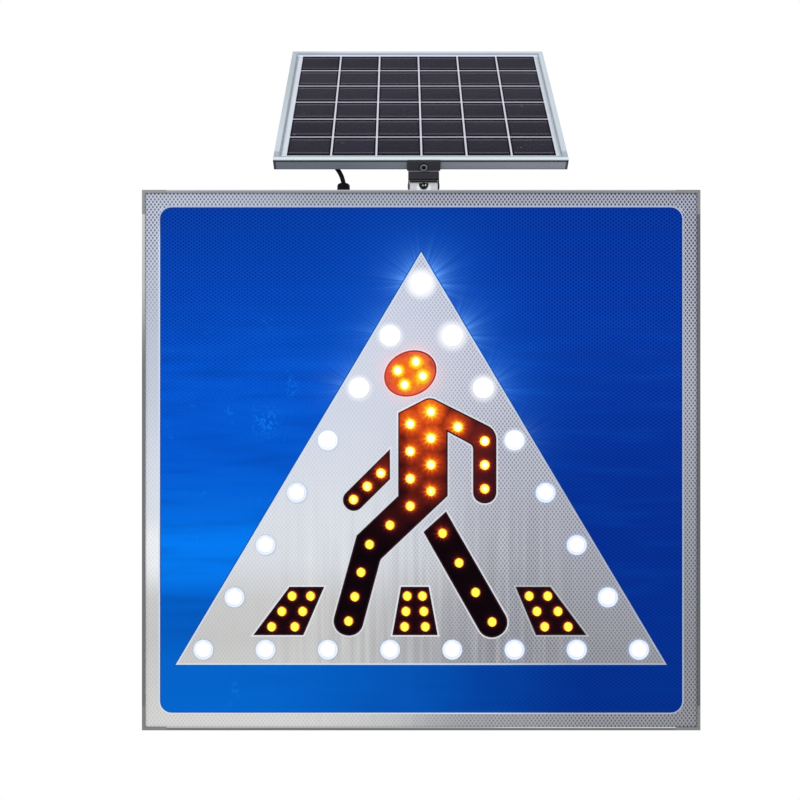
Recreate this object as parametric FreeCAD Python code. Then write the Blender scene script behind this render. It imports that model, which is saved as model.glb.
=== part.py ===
# Solar-powered pedestrian crossing sign with lit white and amber lamps, its tilting solar panel and its rear rails.
# Millimetres. +X is to the right as the sign is read, +Z is up, and the face looks along -Y.
# The origin is the centre of the two rear rails, on the plane of their open lips, where pole clamps take hold.
import FreeCAD
import Part

import math
import os

V = FreeCAD.Vector

# Sign box
sign_width = 620.0
sign_height = 600.0
box_depth = 52.0
rail_depth = 18.0

# Extruded frame round the box
frame_wall = 1.6
lip_reach = 3.4
lip_thickness = 1.6
chamber_reach = 12.0
chamber_depth = 16.0
corner_leg = 27.0
corner_tenon = 18.0
tenon_gap = 0.15
ledge_reach = 13.0
ledge_thickness = 1.3
port_depth = 8.0
port_wall = 1.4
port_width = 3.4

# Face laminate: aluminium plate, white sheeting over it, blue and black films on that
plate_thickness = 2.0
sheeting_thickness = 0.4
film_thickness = 0.3
plate_edge_gap = 0.3
blue_margin_x = 19.8
blue_margin_z = 19.2
blue_corner_radius = 13.0

# White triangle left open in the blue film, by its margins to the film's edges
triangle_top_margin = 49.2
triangle_base_margin = 53.0
triangle_side_margin = 17.0

# The triangle for which the figure's and stripes' values below are given: they follow the real one
symbol_height = 458.2
symbol_base_z = -227.2

# White lamps round the triangle, set in from its edges
white_per_side = 8
white_side_inset = 18.1
white_base_inset = 17.1
lens_flange_radius = 11.2
lens_flange_thickness = 1.0
lens_dome_radius = 8.6
lens_dome_height = 2.6
lens_barrel_radius = 9.4
lens_bore_radius = 8.0
lens_hole_gap = 0.2
emitter_radius = 4.0
emitter_height = 3.0
strip_half_width = 11.0
strip_end = 14.0

# Amber lamps in the figure and the stripes
amber_radius = 5.3
amber_proud = 3.0
amber_shoulder = 0.9
amber_hole_gap = 0.2
amber_flange_radius = 6.1
amber_flange_thickness = 1.0
board_thickness = 1.6
board_inset = 2.0
board_setback = 6.0

# Places of the amber lamps, as (x, z) at the ends of each row
head_lamp_half_long = 11.2
head_lamp_half_short = 8.8
torso_lamp_inset_left = 13.3
torso_lamp_inset_right = 18.5
torso_lamps_left_z = (39.8, -51.1)
torso_lamps_right_z = (53.4, -34.7)
shoulder_lamp = (40.7, 36.5)
arm_lamps_z = (20.9, -32.0)
thigh_lamps = ((-34.6, -72.2), (-57.2, -93.6))
shin_lamps = ((-66.6, -124.4), (-80.4, -178.5))
forearm_lamp_ends = ((-44.6, -14.7), (-74.9, -43.9))
leg_lamp_ends = ((23.7, -81.2), (78.6, -179.4))

# Walking figure: torso
torso_left = -25.4
torso_right = 29.4
shoulder_z = 52.4
neck_x = 9.6
neck_z = 70.3
neck_round = 14.0
hip_z = -39.8

# Walking figure: bent arm on the right
arm_outer_x = 83.4
arm_width = 25.8
arm_outer_z = 33.4
arm_outer_round = 17.0
arm_inner_z = 16.0
arm_inner_round = 6.7
armpit_z = 31.3
hand_z = -48.0

# Walking figure: leading leg
knee_front = (-71.5, -83.7)
knee_back = (-45.1, -110.3)
knee_round = 9.0
front_foot = (-80.5, -178.0)
front_foot_radius = 16.6
front_shin_lean = 14.7

# Walking figure: forearm, trailing leg and head
forearm_tip_z = 12.0
forearm_elbow_z = -21.3
forearm_x = -34.6
forearm_hand = (-74.6, -44.4)
forearm_radius = 11.8
forearm_lean = 45.8
leg_top = (27.6, -57.1)
leg_corner = (2.6, -79.8)
leg_foot = (78.5, -179.7)
leg_radius = 16.9
leg_lean = 29.8
head_centre = (-12.0, 96.0)
head_long = 30.0
head_short = 24.6
head_lean = 25.9
point_round = 1.5
end_roundness = 0.96

# Crossing stripes: x of the left and right edges at the top and at the bottom
stripe_top_z = -140.6
stripe_bottom_z = -194.1
stripe_left_edges = ((-146.0, -107.5), (-186.0, -130.6))
stripe_middle_edges = ((-22.4, 8.4), (-31.9, 18.3))
stripe_right_edges = ((104.7, 143.3), (127.3, 183.4))
stripe_rows = 3
stripe_lamp_shares = (0.255, 0.745)
stripe_lamp_inset = 10.1
stripe_row_pitch = 17.0

# Back cover, its gasket and screws
cover_thickness = 1.2
gasket_thickness = 1.0
gasket_width = 11.0
cover_gap = 0.4
screws_per_side = 4
screw_end_run = 15.0
screw_shank_radius = 1.7
screw_head_radius = 3.6
screw_head_height = 2.2
screw_head_chamfer = 0.8
screw_length = 8.5
screw_hole_gap = 0.2

# Rear rails with a T-slot, and their rivets
rail_length = 500.0
rail_spacing = 340.0
rail_base_width = 74.0
rail_base_thickness = 2.5
rail_channel_width = 30.0
rail_channel_wall = 2.2
rail_mouth = 12.0
rail_lip = 2.6
rivets_per_row = 5
rivet_edge = 30.0
rivet_radius = 2.4
rivet_head_radius = 4.8
rivet_head_top_radius = 2.64
rivet_head_height = 1.5
rivet_tail_radius = 3.6
rivet_tail_height = 2.0

# Solar panel
panel_width = 334.0
panel_length = 266.0
panel_thickness = 12.6
panel_tilt = 47.4
panel_setback = 15.0
panel_front_height = 37.8
panel_wall = 1.2
panel_lip = 6.0
panel_lip_thickness = 0.8
panel_flange = 11.0
glass_thickness = 2.0
cell_thickness = 0.3
backsheet_thickness = 0.4
laminate_gap = 0.2
cells_across = 6
cells_deep = 6
cell_margin_left = 13.2
cell_margin_right = 11.2
cell_margin_front = 12.4
cell_margin_back = 7.6
cell_gap = 2.2
seal_width = 1.3
seal_height = 0.5

# Junction box under the panel
junction_width = 92.0
junction_length = 58.0
junction_depth = 17.0
junction_x = -10.0
junction_s = 155.0
junction_round = 4.0
junction_chamfer = 1.5
lead_collar_radius = 4.6
lead_collar_length = 5.0
lead_collar_x = -42.0
lead_collar_n = -14.0

# Tilt bracket between the box and the panel
bracket_x = 3.4
pivot_setback = 26.0
pivot_height = 10.4
knuckle_radius = 5.6
knuckle_length = 31.6
knuckle_foot_back = 18.0
knuckle_foot_thickness = 3.0
knuckle_foot_round = 4.0
cheek_thickness = 1.4
cheek_gap = 0.3
cheek_radius = 5.6
bracket_sheet = 2.2
bracket_flange_width = 38.0
bracket_flange_start = 0.4
bracket_flange_end = 13.2
bracket_flange_round = 1.2
bracket_web_gap = 0.8
pivot_pin_radius = 2.5
pivot_running_gap = 0.05
pivot_head_radius = 4.6
pivot_head_height = 0.9
lock_screw_radius = 2.0
lock_screw_raise = 0.4
lock_head_radius = 5.3
lock_head_flat = 1.4
lock_head_height = 2.2
lock_socket_across = 4.0
lock_socket_drop = 1.6
lock_clearance = 0.3
flange_screw_radius = 1.9
flange_screw_depth = 7.4
flange_screw_reach = 6.0
flange_screw_head = 4.2
flange_screw_head_height = 2.6
flange_screw_round = 0.5
flange_screw_socket = 3.6
socket_depth = 1.6
fixing_screw_x = 9.0
fixing_screw_back = 10.6
fixing_screw_radius = 2.5
fixing_head_radius = 4.4
fixing_head_height = 2.8
backing_thickness = 3.0
backing_width = 34.0
backing_gap = 0.6

# Cable gland and the panel's lead
gland_x = -88.0
gland_setback = 28.0
gland_thread_radius = 6.2
gland_hex_across = 15.0
gland_hex_height = 5.0
gland_cap_radius = 7.2
gland_cap_height = 9.0
gland_cap_round = 3.2
gland_hole_gap = 0.15
gland_bore_gap = 0.6
locknut_across = 15.0
locknut_height = 3.6
gland_tail = 7.0
lead_radius = 2.6
lead_bend_share = 0.48
lead_route = (
    (-88.0, -42.0, 314.0),
    (-88.0, -42.0, 321.0),
    (-89.4, -40.6, 327.7),
    (-92.0, -37.7, 333.5),
    (-96.4, -32.0, 339.8),
    (-100.6, -25.2, 345.1),
    (-104.3, -17.8, 349.9),
    (-107.0, -10.0, 354.8),
    (-108.4, -2.1, 360.0),
    (-108.1, 5.6, 365.7),
    (-105.8, 12.8, 371.7),
    (-101.7, 18.9, 377.7),
    (-96.1, 24.0, 383.6),
    (-89.3, 28.0, 389.1),
    (-81.9, 31.1, 394.3),
    (-74.1, 33.7, 399.3),
    (-66.3, 35.9, 404.5),
    (-58.8, 38.2, 410.0),
    (-51.9, 40.8, 416.0),
    (-46.1, 44.4, 422.8),
    (-43.3, 47.9, 428.2),
)
lead_last_run = 7.0

# Battery, controller and switch inside and under the box
battery_size = (150.0, 26.0, 74.0)
battery_centre = (86.0, -95.0)
battery_round = 5.0
clamp_width = 24.0
clamp_sheet = 1.5
clamp_foot = 16.0
clamp_gap = 0.3
controller_size = (104.0, 24.0, 70.0)
controller_centre = (-90.0, 96.0)
controller_round = 4.0
terminal_size = (60.0, 10.0, 8.0)
terminal_back_gap = 4.0
wire_radius = 2.2
wire_run = 22.0
wire_step_x = 8.0
wire_step_y = 5.0
wire_exit_x = 15.0
switch_from_side = 80.0
switch_radius = 8.0
switch_bezel_radius = 10.5
switch_bezel_height = 2.2
switch_bezel_chamfer = 0.7
switch_body_height = 17.0
switch_nut_across = 19.0
switch_nut_height = 3.0
switch_hole_gap = 0.2
button_radius = 5.2
button_gap = 0.25
button_proud = 1.6
button_depth = 7.0
button_travel = 2.5
button_chamfer = 0.6
button_well_gap = 0.6

# Planes that follow from the values above
front_y = -(rail_depth + box_depth)
back_y = -rail_depth
half_w = sign_width / 2
half_h = sign_height / 2
sheeting_y = front_y + lip_thickness
plate_y = sheeting_y + sheeting_thickness
plate_back_y = plate_y + plate_thickness
seat_depth = plate_back_y - front_y
board_y = plate_back_y + board_setback
cover_y = back_y - cover_thickness
gasket_y = cover_y - gasket_thickness
ledge_depth = gasket_y - front_y
roof_z = half_h
triangle_apex_z = half_h - blue_margin_z - triangle_top_margin
triangle_base_z = -half_h + blue_margin_z + triangle_base_margin
triangle_half_base = half_w - blue_margin_x - triangle_side_margin
triangle_height = triangle_apex_z - triangle_base_z
triangle_side = math.hypot(triangle_half_base, triangle_height)
symbol_scale = triangle_height / symbol_height
white_apex_z = triangle_apex_z - white_side_inset * triangle_side / triangle_half_base
white_base_z = triangle_base_z + white_base_inset
white_half_base = (white_apex_z - white_base_z) * triangle_half_base / triangle_height
chamber_back_y = front_y + seat_depth + chamber_depth
port_front_y = front_y + ledge_depth - ledge_thickness - port_depth
switch_x = half_w - switch_from_side
switch_y = (chamber_back_y + port_front_y) / 2
cell_pitch_x = (panel_width - cell_margin_left - cell_margin_right) / cells_across
cell_pitch_s = (panel_length - cell_margin_front - cell_margin_back) / cells_deep
pivot = V(bracket_x, front_y + pivot_setback, roof_z + pivot_height)
panel_origin = V(0, front_y + panel_setback, roof_z + panel_front_height)
parts = {}


def cylinder(base, axis, radius, height):
    return Part.makeCylinder(radius, height, base, axis)


def block(x0, x1, y0, y1, z0, z1):
    return Part.makeBox(x1 - x0, y1 - y0, z1 - z0, V(x0, y0, z0))


def rounded_wire(corners, place):
    # A closed outline from (a, b, radius) corners, each turned by a tangent arc of its radius.
    # place puts (a, b) in space.
    count = len(corners)
    spans = []
    for i, (a, b, radius) in enumerate(corners):
        here = V(a, b, 0)
        before = V(*corners[i - 1][:2], 0) - here
        after = V(*corners[(i + 1) % count][:2], 0) - here
        if radius <= 0:
            spans.append((here, None, here))
            continue
        half = before.getAngle(after) / 2
        reach = radius / math.tan(half)
        middle_way = before.normalize() + after.normalize()
        middle_way.normalize()
        middle = here + middle_way * (radius / math.sin(half) - radius)
        spans.append((here + before * reach, middle, here + after * reach))
    edges = []
    for i, (start, middle, end) in enumerate(spans):
        if middle is not None:
            edges.append(Part.Arc(place(start), place(middle), place(end)).toShape())
        following = spans[(i + 1) % count][0]
        if (following - end).Length > 1e-6:
            edges.append(Part.LineSegment(place(end), place(following)).toShape())
    return Part.Wire(edges)


def on_face(y):
    # Puts an outline point (x, z) of the sign's face at the depth y.
    return lambda p: V(p.x, y, p.y)


def sheet_from(corners, y0, y1):
    # A flat piece that lies in the face, from an outline of (x, z, radius) corners.
    face = Part.Face(rounded_wire(corners, on_face(y0)))
    return face.extrude(V(0, y1 - y0, 0))


def in_triangle(points):
    # Scales (x, z, radius) points of the picture about the triangle's base, to the triangle's height.
    placed = []
    for x, z, *radius in points:
        up = (z - symbol_base_z) * symbol_scale
        placed.append((x * symbol_scale, triangle_base_z + up, *(r * symbol_scale for r in radius)))
    return placed


def plain(points):
    return [(x, z, 0) for x, z in points]


def capsule_end(centre, radius, lean):
    # The two corners whose arcs make a limb's round end. lean is degrees from straight down, + towards +X.
    turn = math.radians(lean)
    along = (math.sin(turn) * radius, -math.cos(turn) * radius)
    across = (math.cos(turn) * radius, math.sin(turn) * radius)
    bend = radius * end_roundness
    right = (centre[0] + along[0] + across[0], centre[1] + along[1] + across[1], bend)
    left = (centre[0] + along[0] - across[0], centre[1] + along[1] - across[1], bend)
    return right, left


def spread(start, end, count):
    # count points evenly spaced from start to end, both included.
    steps = max(count - 1, 1)
    return [
        (
            start[0] + (end[0] - start[0]) * i / steps,
            start[1] + (end[1] - start[1]) * i / steps,
        )
        for i in range(count)
    ]


# Outlines of the picture

def body_outline():
    inner_x = arm_outer_x - arm_width
    hand_round = arm_width / 2 * end_roundness
    foot_right, foot_left = capsule_end(front_foot, front_foot_radius, -front_shin_lean)
    return in_triangle(
        [
            (torso_left, shoulder_z, point_round),
            (neck_x, neck_z, neck_round),
            (arm_outer_x, arm_outer_z, arm_outer_round),
            (arm_outer_x, hand_z, hand_round),
            (inner_x, hand_z, hand_round),
            (inner_x, arm_inner_z, arm_inner_round),
            (torso_right, armpit_z, 0),
            (torso_right, hip_z, point_round),
            (*knee_back, knee_round),
            foot_right,
            foot_left,
            (*knee_front, point_round),
            (torso_left, hip_z, 0),
        ]
    )


def forearm_outline():
    right, left = capsule_end(forearm_hand, forearm_radius, -forearm_lean)
    return in_triangle(
        [(forearm_x, forearm_tip_z, 0), (forearm_x, forearm_elbow_z, 0), right, left]
    )


def leg_outline():
    right, left = capsule_end(leg_foot, leg_radius, leg_lean)
    return in_triangle([(*leg_top, 0), right, left, (*leg_corner, 0)])


def stripe_outline(edges):
    (top_left, top_right), (bottom_left, bottom_right) = edges
    corners = [
        (top_left, stripe_top_z),
        (top_right, stripe_top_z),
        (bottom_right, stripe_bottom_z),
        (bottom_left, stripe_bottom_z),
    ]
    return plain(in_triangle(corners))


def head_face(y, inset=0.0):
    # An ellipse that leans with the walking figure.
    (x, z, long, short), = in_triangle([(*head_centre, head_long, head_short)])
    ellipse = Part.Ellipse(V(0, 0, 0), long - inset, short - inset)
    wire = Part.Wire([ellipse.toShape()])
    wire.rotate(V(0, 0, 0), V(0, 0, 1), head_lean)
    wire.rotate(V(0, 0, 0), V(1, 0, 0), 90)
    wire.translate(V(x, y, z))
    return Part.Face(wire)


# Lamp places, as (x, z)

def head_lamps():
    # Four lamps at the corners of a rectangle that leans with the head.
    turn = math.radians(head_lean)
    places = []
    for along_sign, up_sign in ((-1, 1), (1, 1), (1, -1), (-1, -1)):
        along = along_sign * head_lamp_half_long
        up = up_sign * head_lamp_half_short
        x = head_centre[0] + along * math.cos(turn) - up * math.sin(turn)
        z = head_centre[1] + along * math.sin(turn) + up * math.cos(turn)
        places.append((x, z))
    return in_triangle(places)


def column(x, ends, count):
    return spread((x, ends[0]), (x, ends[1]), count)


def body_lamps():
    return in_triangle(
        column(torso_left + torso_lamp_inset_left, torso_lamps_left_z, 4)
        + column(torso_right - torso_lamp_inset_right, torso_lamps_right_z, 4)
        + [shoulder_lamp]
        + column(arm_outer_x - arm_width / 2, arm_lamps_z, 3)
        + spread(*thigh_lamps, 2)
        + spread(*shin_lamps, 3)
    )


def forearm_lamps():
    return in_triangle(spread(*forearm_lamp_ends, 3))


def leg_lamps():
    return in_triangle(spread(*leg_lamp_ends, 4))


def stripe_lamps(edges):
    # Two leaning columns of lamps, each keeping its share of the stripe's width.
    (top_left, top_right), (bottom_left, bottom_right) = edges
    height = stripe_top_z - stripe_bottom_z
    places = []
    for row in range(stripe_rows):
        down = stripe_lamp_inset + row * stripe_row_pitch
        left = top_left + (bottom_left - top_left) * down / height
        right = top_right + (bottom_right - top_right) * down / height
        for share in stripe_lamp_shares:
            places.append((left + (right - left) * share, stripe_top_z - down))
    return in_triangle(places)


def white_left_lamps():
    return spread((0, white_apex_z), (-white_half_base, white_base_z), white_per_side)[:-1]


def white_right_lamps():
    return spread((0, white_apex_z), (white_half_base, white_base_z), white_per_side)[1:-1]


def white_bottom_lamps():
    return spread(
        (-white_half_base, white_base_z), (white_half_base, white_base_z), white_per_side
    )


def all_stripe_lamps():
    return [
        place
        for edges in (stripe_left_edges, stripe_middle_edges, stripe_right_edges)
        for place in stripe_lamps(edges)
    ]


def figure_lamps():
    return body_lamps() + forearm_lamps() + leg_lamps()


def white_lamps():
    return white_left_lamps() + white_right_lamps() + white_bottom_lamps()


def holes(places, radius, y0, y1):
    return [cylinder(V(x, y0, z), V(0, 1, 0), radius, y1 - y0) for x, z in places]


def pierce(shape, y0, y1, whites=(), ambers=()):
    tools = holes(whites, lens_barrel_radius + lens_hole_gap, y0, y1)
    tools += holes(ambers, amber_radius + amber_hole_gap, y0, y1)
    return shape.cut(tools) if tools else shape


# Frame of the sign box

def profile_corners():
    # The extrusion's section as (inward, depth) points: front lip, key chamber, screw port and rear ledge.
    chamber_end = seat_depth + chamber_depth
    port_start = ledge_depth - ledge_thickness - port_depth
    ledge_front = ledge_depth - ledge_thickness
    port_out = ledge_reach - port_wall
    port_in = port_out - port_width
    return [
        (0, 0),
        (lip_reach, 0),
        (lip_reach, lip_thickness),
        (frame_wall, lip_thickness),
        (frame_wall, seat_depth),
        (chamber_reach, seat_depth),
        (chamber_reach, chamber_end),
        (frame_wall, chamber_end),
        (frame_wall, ledge_front),
        (port_in - port_wall, ledge_front),
        (port_in - port_wall, port_start),
        (port_in, port_start),
        (port_in, ledge_front),
        (port_out, ledge_front),
        (port_out, port_start),
        (ledge_reach, port_start),
        (ledge_reach, ledge_depth),
        (frame_wall, ledge_depth),
        (frame_wall, box_depth),
        (0, box_depth),
    ]


def chamber_corners(gap):
    # The key chamber's inside, or with a gap the tenon that slides into it.
    return [
        (frame_wall + gap, seat_depth + frame_wall + gap),
        (chamber_reach - frame_wall - gap, seat_depth + frame_wall + gap),
        (chamber_reach - frame_wall - gap, seat_depth + chamber_depth - frame_wall - gap),
        (frame_wall + gap, seat_depth + chamber_depth - frame_wall - gap),
    ]


def section_face(points, origin, inward):
    corners = [origin + inward * u + V(0, v, 0) for u, v in points]
    return Part.Face(Part.makePolygon(corners + corners[:1]))


def screw_line():
    # How far in from the outer face the cover's screws run, in the middle of the screw port.
    return ledge_reach - port_wall - port_width / 2


def side_facts():
    # Each side of the frame: its start corner, the way inward, the way along, and its length.
    return {
        "top": (V(-half_w, front_y, half_h), V(0, 0, -1), V(1, 0, 0), sign_width),
        "bottom": (V(-half_w, front_y, -half_h), V(0, 0, 1), V(1, 0, 0), sign_width),
        "left": (V(-half_w, front_y, -half_h), V(1, 0, 0), V(0, 0, 1), sign_height),
        "right": (V(half_w, front_y, -half_h), V(-1, 0, 0), V(0, 0, 1), sign_height),
    }


def screw_places(side):
    start, inward, along, length = side_facts()[side]
    first = corner_leg + corner_tenon + screw_end_run
    run = length - 2 * first
    return [
        start + along * (first + run * i / (screws_per_side - 1)) + inward * screw_line()
        for i in range(screws_per_side)
    ]


def all_screw_places():
    return [p for side in side_facts() for p in screw_places(side)]


def frame_side(side):
    start, inward, along, length = side_facts()[side]
    origin = start + along * corner_leg
    run = along * (length - 2 * corner_leg)
    body = section_face(profile_corners(), origin, inward).extrude(run)
    hollow = section_face(chamber_corners(0), origin, inward).extrude(run)
    drills = [
        cylinder(V(p.x, front_y + ledge_depth - ledge_thickness - 1, p.z), V(0, 1, 0),
                 screw_shank_radius, ledge_thickness + 2)
        for p in screw_places(side)
    ]
    return body.cut([hollow] + drills)


def corner(sign_x, sign_z):
    # A cast corner: two mitred legs of the frame's section with a solid chamber, and a tenon into each side.
    origin = V(sign_x * half_w, front_y, sign_z * half_h)
    way_x = V(-sign_x, 0, 0)
    way_z = V(0, 0, -sign_z)
    legs = []
    for along, inward in ((way_x, way_z), (way_z, way_x)):
        leg = section_face(profile_corners(), origin, inward).extrude(along * corner_leg)
        far = corner_leg + 1
        wedge = Part.Face(
            Part.makePolygon(
                [
                    origin + V(0, -1, 0),
                    origin + along * far + V(0, -1, 0),
                    origin + along * far + inward * far + V(0, -1, 0),
                    origin + V(0, -1, 0),
                ]
            )
        ).extrude(V(0, box_depth + 2, 0))
        tenon = section_face(
            chamber_corners(tenon_gap), origin + along * (corner_leg - 1), inward
        ).extrude(along * (corner_tenon + 1))
        legs.append(leg.common(wedge).fuse(tenon))
    return legs[0].fuse(legs[1]).removeSplitter()


def make_frame():
    for side in side_facts():
        parts["frame_" + side] = frame_side(side)
    parts["frame_top"] = parts["frame_top"].cut(roof_holes())
    parts["frame_bottom"] = parts["frame_bottom"].cut(
        [cylinder(V(switch_x, switch_y, -half_h - 1), V(0, 0, 1),
                  switch_radius + switch_hole_gap, frame_wall + 2)]
    )
    for name, sign_x, sign_z in (
        ("corner_top_left", -1, 1),
        ("corner_top_right", 1, 1),
        ("corner_bottom_left", -1, -1),
        ("corner_bottom_right", 1, -1),
    ):
        parts[name] = corner(sign_x, sign_z)


def roof_holes():
    # Holes through the top wall for the gland and for the tilt bracket's fixing screws.
    tools = [
        cylinder(V(gland_x, front_y + gland_setback, roof_z - frame_wall - 1), V(0, 0, 1),
                 gland_thread_radius + gland_hole_gap, frame_wall + 2)
    ]
    for p in fixing_places():
        tools.append(
            cylinder(V(p[0], p[1], roof_z - frame_wall - 1), V(0, 0, 1),
                     fixing_screw_radius + screw_hole_gap, frame_wall + 2)
        )
    return tools


# Face

def face_corners():
    x = half_w - frame_wall - plate_edge_gap
    z = half_h - frame_wall - plate_edge_gap
    return plain([(-x, -z), (x, -z), (x, z), (-x, z)])


def make_face():
    ambers = head_lamps() + figure_lamps() + all_stripe_lamps()
    plate = sheet_from(face_corners(), plate_y, plate_back_y)
    parts["face_plate"] = pierce(plate, plate_y - 1, plate_back_y + 1, white_lamps(), ambers)
    white = sheet_from(face_corners(), sheeting_y, plate_y)
    parts["white_sheeting"] = pierce(white, sheeting_y - 1, plate_y + 1, white_lamps(), ambers)
    x = half_w - blue_margin_x
    z = half_h - blue_margin_z
    r = blue_corner_radius
    film_y = sheeting_y - film_thickness
    blue = sheet_from([(-x, -z, r), (x, -z, r), (x, z, r), (-x, z, r)], film_y, sheeting_y)
    opening = sheet_from(
        plain(
            [
                (0, triangle_apex_z),
                (-triangle_half_base, triangle_base_z),
                (triangle_half_base, triangle_base_z),
            ]
        ),
        film_y - 1,
        sheeting_y + 1,
    )
    parts["blue_film"] = blue.cut(opening)


def make_black_films():
    y0 = sheeting_y - film_thickness
    y1 = sheeting_y
    head = head_face(y0).extrude(V(0, film_thickness, 0))
    parts["black_film_head"] = pierce(head, y0 - 1, y1 + 1, ambers=head_lamps())
    for name, outline, lamps in (
        ("black_film_body", body_outline(), body_lamps()),
        ("black_film_forearm", forearm_outline(), forearm_lamps()),
        ("black_film_leg", leg_outline(), leg_lamps()),
    ):
        parts[name] = pierce(sheet_from(outline, y0, y1), y0 - 1, y1 + 1, ambers=lamps)
    parts["black_film_stripes"] = Part.makeCompound(
        [
            pierce(sheet_from(stripe_outline(edges), y0, y1), y0 - 1, y1 + 1,
                   ambers=stripe_lamps(edges))
            for edges in (stripe_left_edges, stripe_middle_edges, stripe_right_edges)
        ]
    )


# Lamps and their boards

def revolved(points, x, z):
    # A solid turned about the lamp's axis, from (radius, y) points; a triple adds the arc's middle point.
    edges = []
    last = None
    for point in points:
        here = V(x + point[0], point[1], z)
        if last is not None and (here - last).Length > 1e-7:
            if len(point) == 4:
                middle = V(x + point[2], point[3], z)
                edges.append(Part.Arc(last, middle, here).toShape())
            else:
                edges.append(Part.LineSegment(last, here).toShape())
        last = here
    edges.append(Part.LineSegment(last, V(x + points[0][0], points[0][1], z)).toShape())
    return Part.Face(Part.Wire(edges)).revolve(V(x, 0, z), V(0, 1, 0), 360)


def dome_middle(radius, height):
    # The half-way point of the arc that rises by height over radius, as (radius, rise).
    ball = (radius * radius + height * height) / (2 * height)
    half = math.asin(min(1.0, radius / ball)) / 2
    return ball * math.sin(half), height - ball * (1 - math.cos(half))


def white_lens(x, z):
    # A clear cap: flange on the sheeting, shallow dome, and a hollow barrel down to the board.
    front = sheeting_y - lens_flange_thickness
    mid_r, mid_rise = dome_middle(lens_dome_radius, lens_dome_height)
    return revolved(
        [
            (0, front - lens_dome_height),
            (lens_dome_radius, front, mid_r, front - mid_rise),
            (lens_flange_radius, front),
            (lens_flange_radius, sheeting_y),
            (lens_barrel_radius, sheeting_y),
            (lens_barrel_radius, board_y),
            (lens_bore_radius, board_y),
            (lens_bore_radius, sheeting_y),
            (0, sheeting_y),
        ],
        x,
        z,
    )


def amber_lamp(x, z):
    # A round-nosed lamp whose rear flange seats behind the plate.
    film_y = sheeting_y - film_thickness
    shoulder = film_y - amber_shoulder
    tip = film_y - amber_proud
    mid_r, mid_rise = dome_middle(amber_radius, shoulder - tip)
    return revolved(
        [
            (0, tip),
            (amber_radius, shoulder, mid_r, shoulder - mid_rise),
            (amber_radius, plate_back_y),
            (amber_flange_radius, plate_back_y),
            (amber_flange_radius, plate_back_y + amber_flange_thickness),
            (amber_radius, plate_back_y + amber_flange_thickness),
            (amber_radius, board_y),
            (0, board_y),
        ],
        x,
        z,
    )


def strip_board(places):
    # A straight board behind a row of lamps, square at both ends.
    (x0, z0), (x1, z1) = places[0], places[-1]
    length = math.hypot(x1 - x0, z1 - z0)
    ux, uz = (x1 - x0) / length, (z1 - z0) / length
    ax, az = ux * strip_end, uz * strip_end
    bx, bz = -uz * strip_half_width, ux * strip_half_width
    corners = [
        (x0 - ax + bx, z0 - az + bz),
        (x1 + ax + bx, z1 + az + bz),
        (x1 + ax - bx, z1 + az - bz),
        (x0 - ax - bx, z0 - az - bz),
    ]
    return sheet_from(plain(corners), board_y, board_y + board_thickness)


def inset_board(face):
    return face.makeOffset2D(-board_inset).extrude(V(0, board_thickness, 0))


def make_lamps():
    parts["white_lenses"] = Part.makeCompound([white_lens(x, z) for x, z in white_lamps()])
    parts["white_emitters"] = Part.makeCompound(
        [
            cylinder(V(x, board_y - emitter_height, z), V(0, 1, 0), emitter_radius, emitter_height)
            for x, z in white_lamps()
        ]
    )
    parts["lamp_strip_left"] = strip_board(white_left_lamps())
    parts["lamp_strip_right"] = strip_board(white_right_lamps())
    parts["lamp_strip_bottom"] = strip_board(white_bottom_lamps())
    for name, places in (
        ("amber_lamps_head", head_lamps()),
        ("amber_lamps_figure", figure_lamps()),
        ("amber_lamps_stripes", all_stripe_lamps()),
    ):
        parts[name] = Part.makeCompound([amber_lamp(x, z) for x, z in places])
    parts["lamp_board_head"] = head_face(board_y, board_inset).extrude(V(0, board_thickness, 0))
    parts["lamp_boards_figure"] = Part.makeCompound(
        [
            inset_board(Part.Face(rounded_wire(outline, on_face(board_y))))
            for outline in (body_outline(), forearm_outline(), leg_outline())
        ]
    )
    parts["lamp_boards_stripes"] = Part.makeCompound(
        [
            inset_board(Part.Face(rounded_wire(stripe_outline(edges), on_face(board_y))))
            for edges in (stripe_left_edges, stripe_middle_edges, stripe_right_edges)
        ]
    )


# Back of the box

def make_cover():
    x = half_w - frame_wall - cover_gap
    z = half_h - frame_wall - cover_gap
    screws = all_screw_places()
    cover = block(-x, x, cover_y, back_y, -z, z)
    drills = [
        cylinder(V(p.x, cover_y - 1, p.z), V(0, 1, 0), screw_shank_radius + screw_hole_gap,
                 cover_thickness + 2)
        for p in screws
    ]
    drills += [
        cylinder(V(px, cover_y - 1, pz), V(0, 1, 0), rivet_radius, cover_thickness + 2)
        for px, pz in rivet_places()
    ]
    parts["back_cover"] = cover.cut(drills)
    inner_x = x - gasket_width
    inner_z = z - gasket_width
    gasket = block(-x, x, gasket_y, cover_y, -z, z).cut(
        block(-inner_x, inner_x, gasket_y - 1, cover_y + 1, -inner_z, inner_z)
    )
    parts["cover_gasket"] = gasket.cut(
        [
            cylinder(V(p.x, gasket_y - 1, p.z), V(0, 1, 0), screw_shank_radius,
                     gasket_thickness + 2)
            for p in screws
        ]
    )
    made = []
    for p in screws:
        head = cylinder(V(p.x, back_y, p.z), V(0, 1, 0), screw_head_radius, screw_head_height)
        head = head.makeChamfer(screw_head_chamfer, round_edges(head, 1, back_y + screw_head_height))
        shank = cylinder(V(p.x, back_y - screw_length, p.z), V(0, 1, 0), screw_shank_radius,
                         screw_length)
        made.append(head.fuse(shank))
    parts["cover_screws"] = Part.makeCompound(made)


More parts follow.
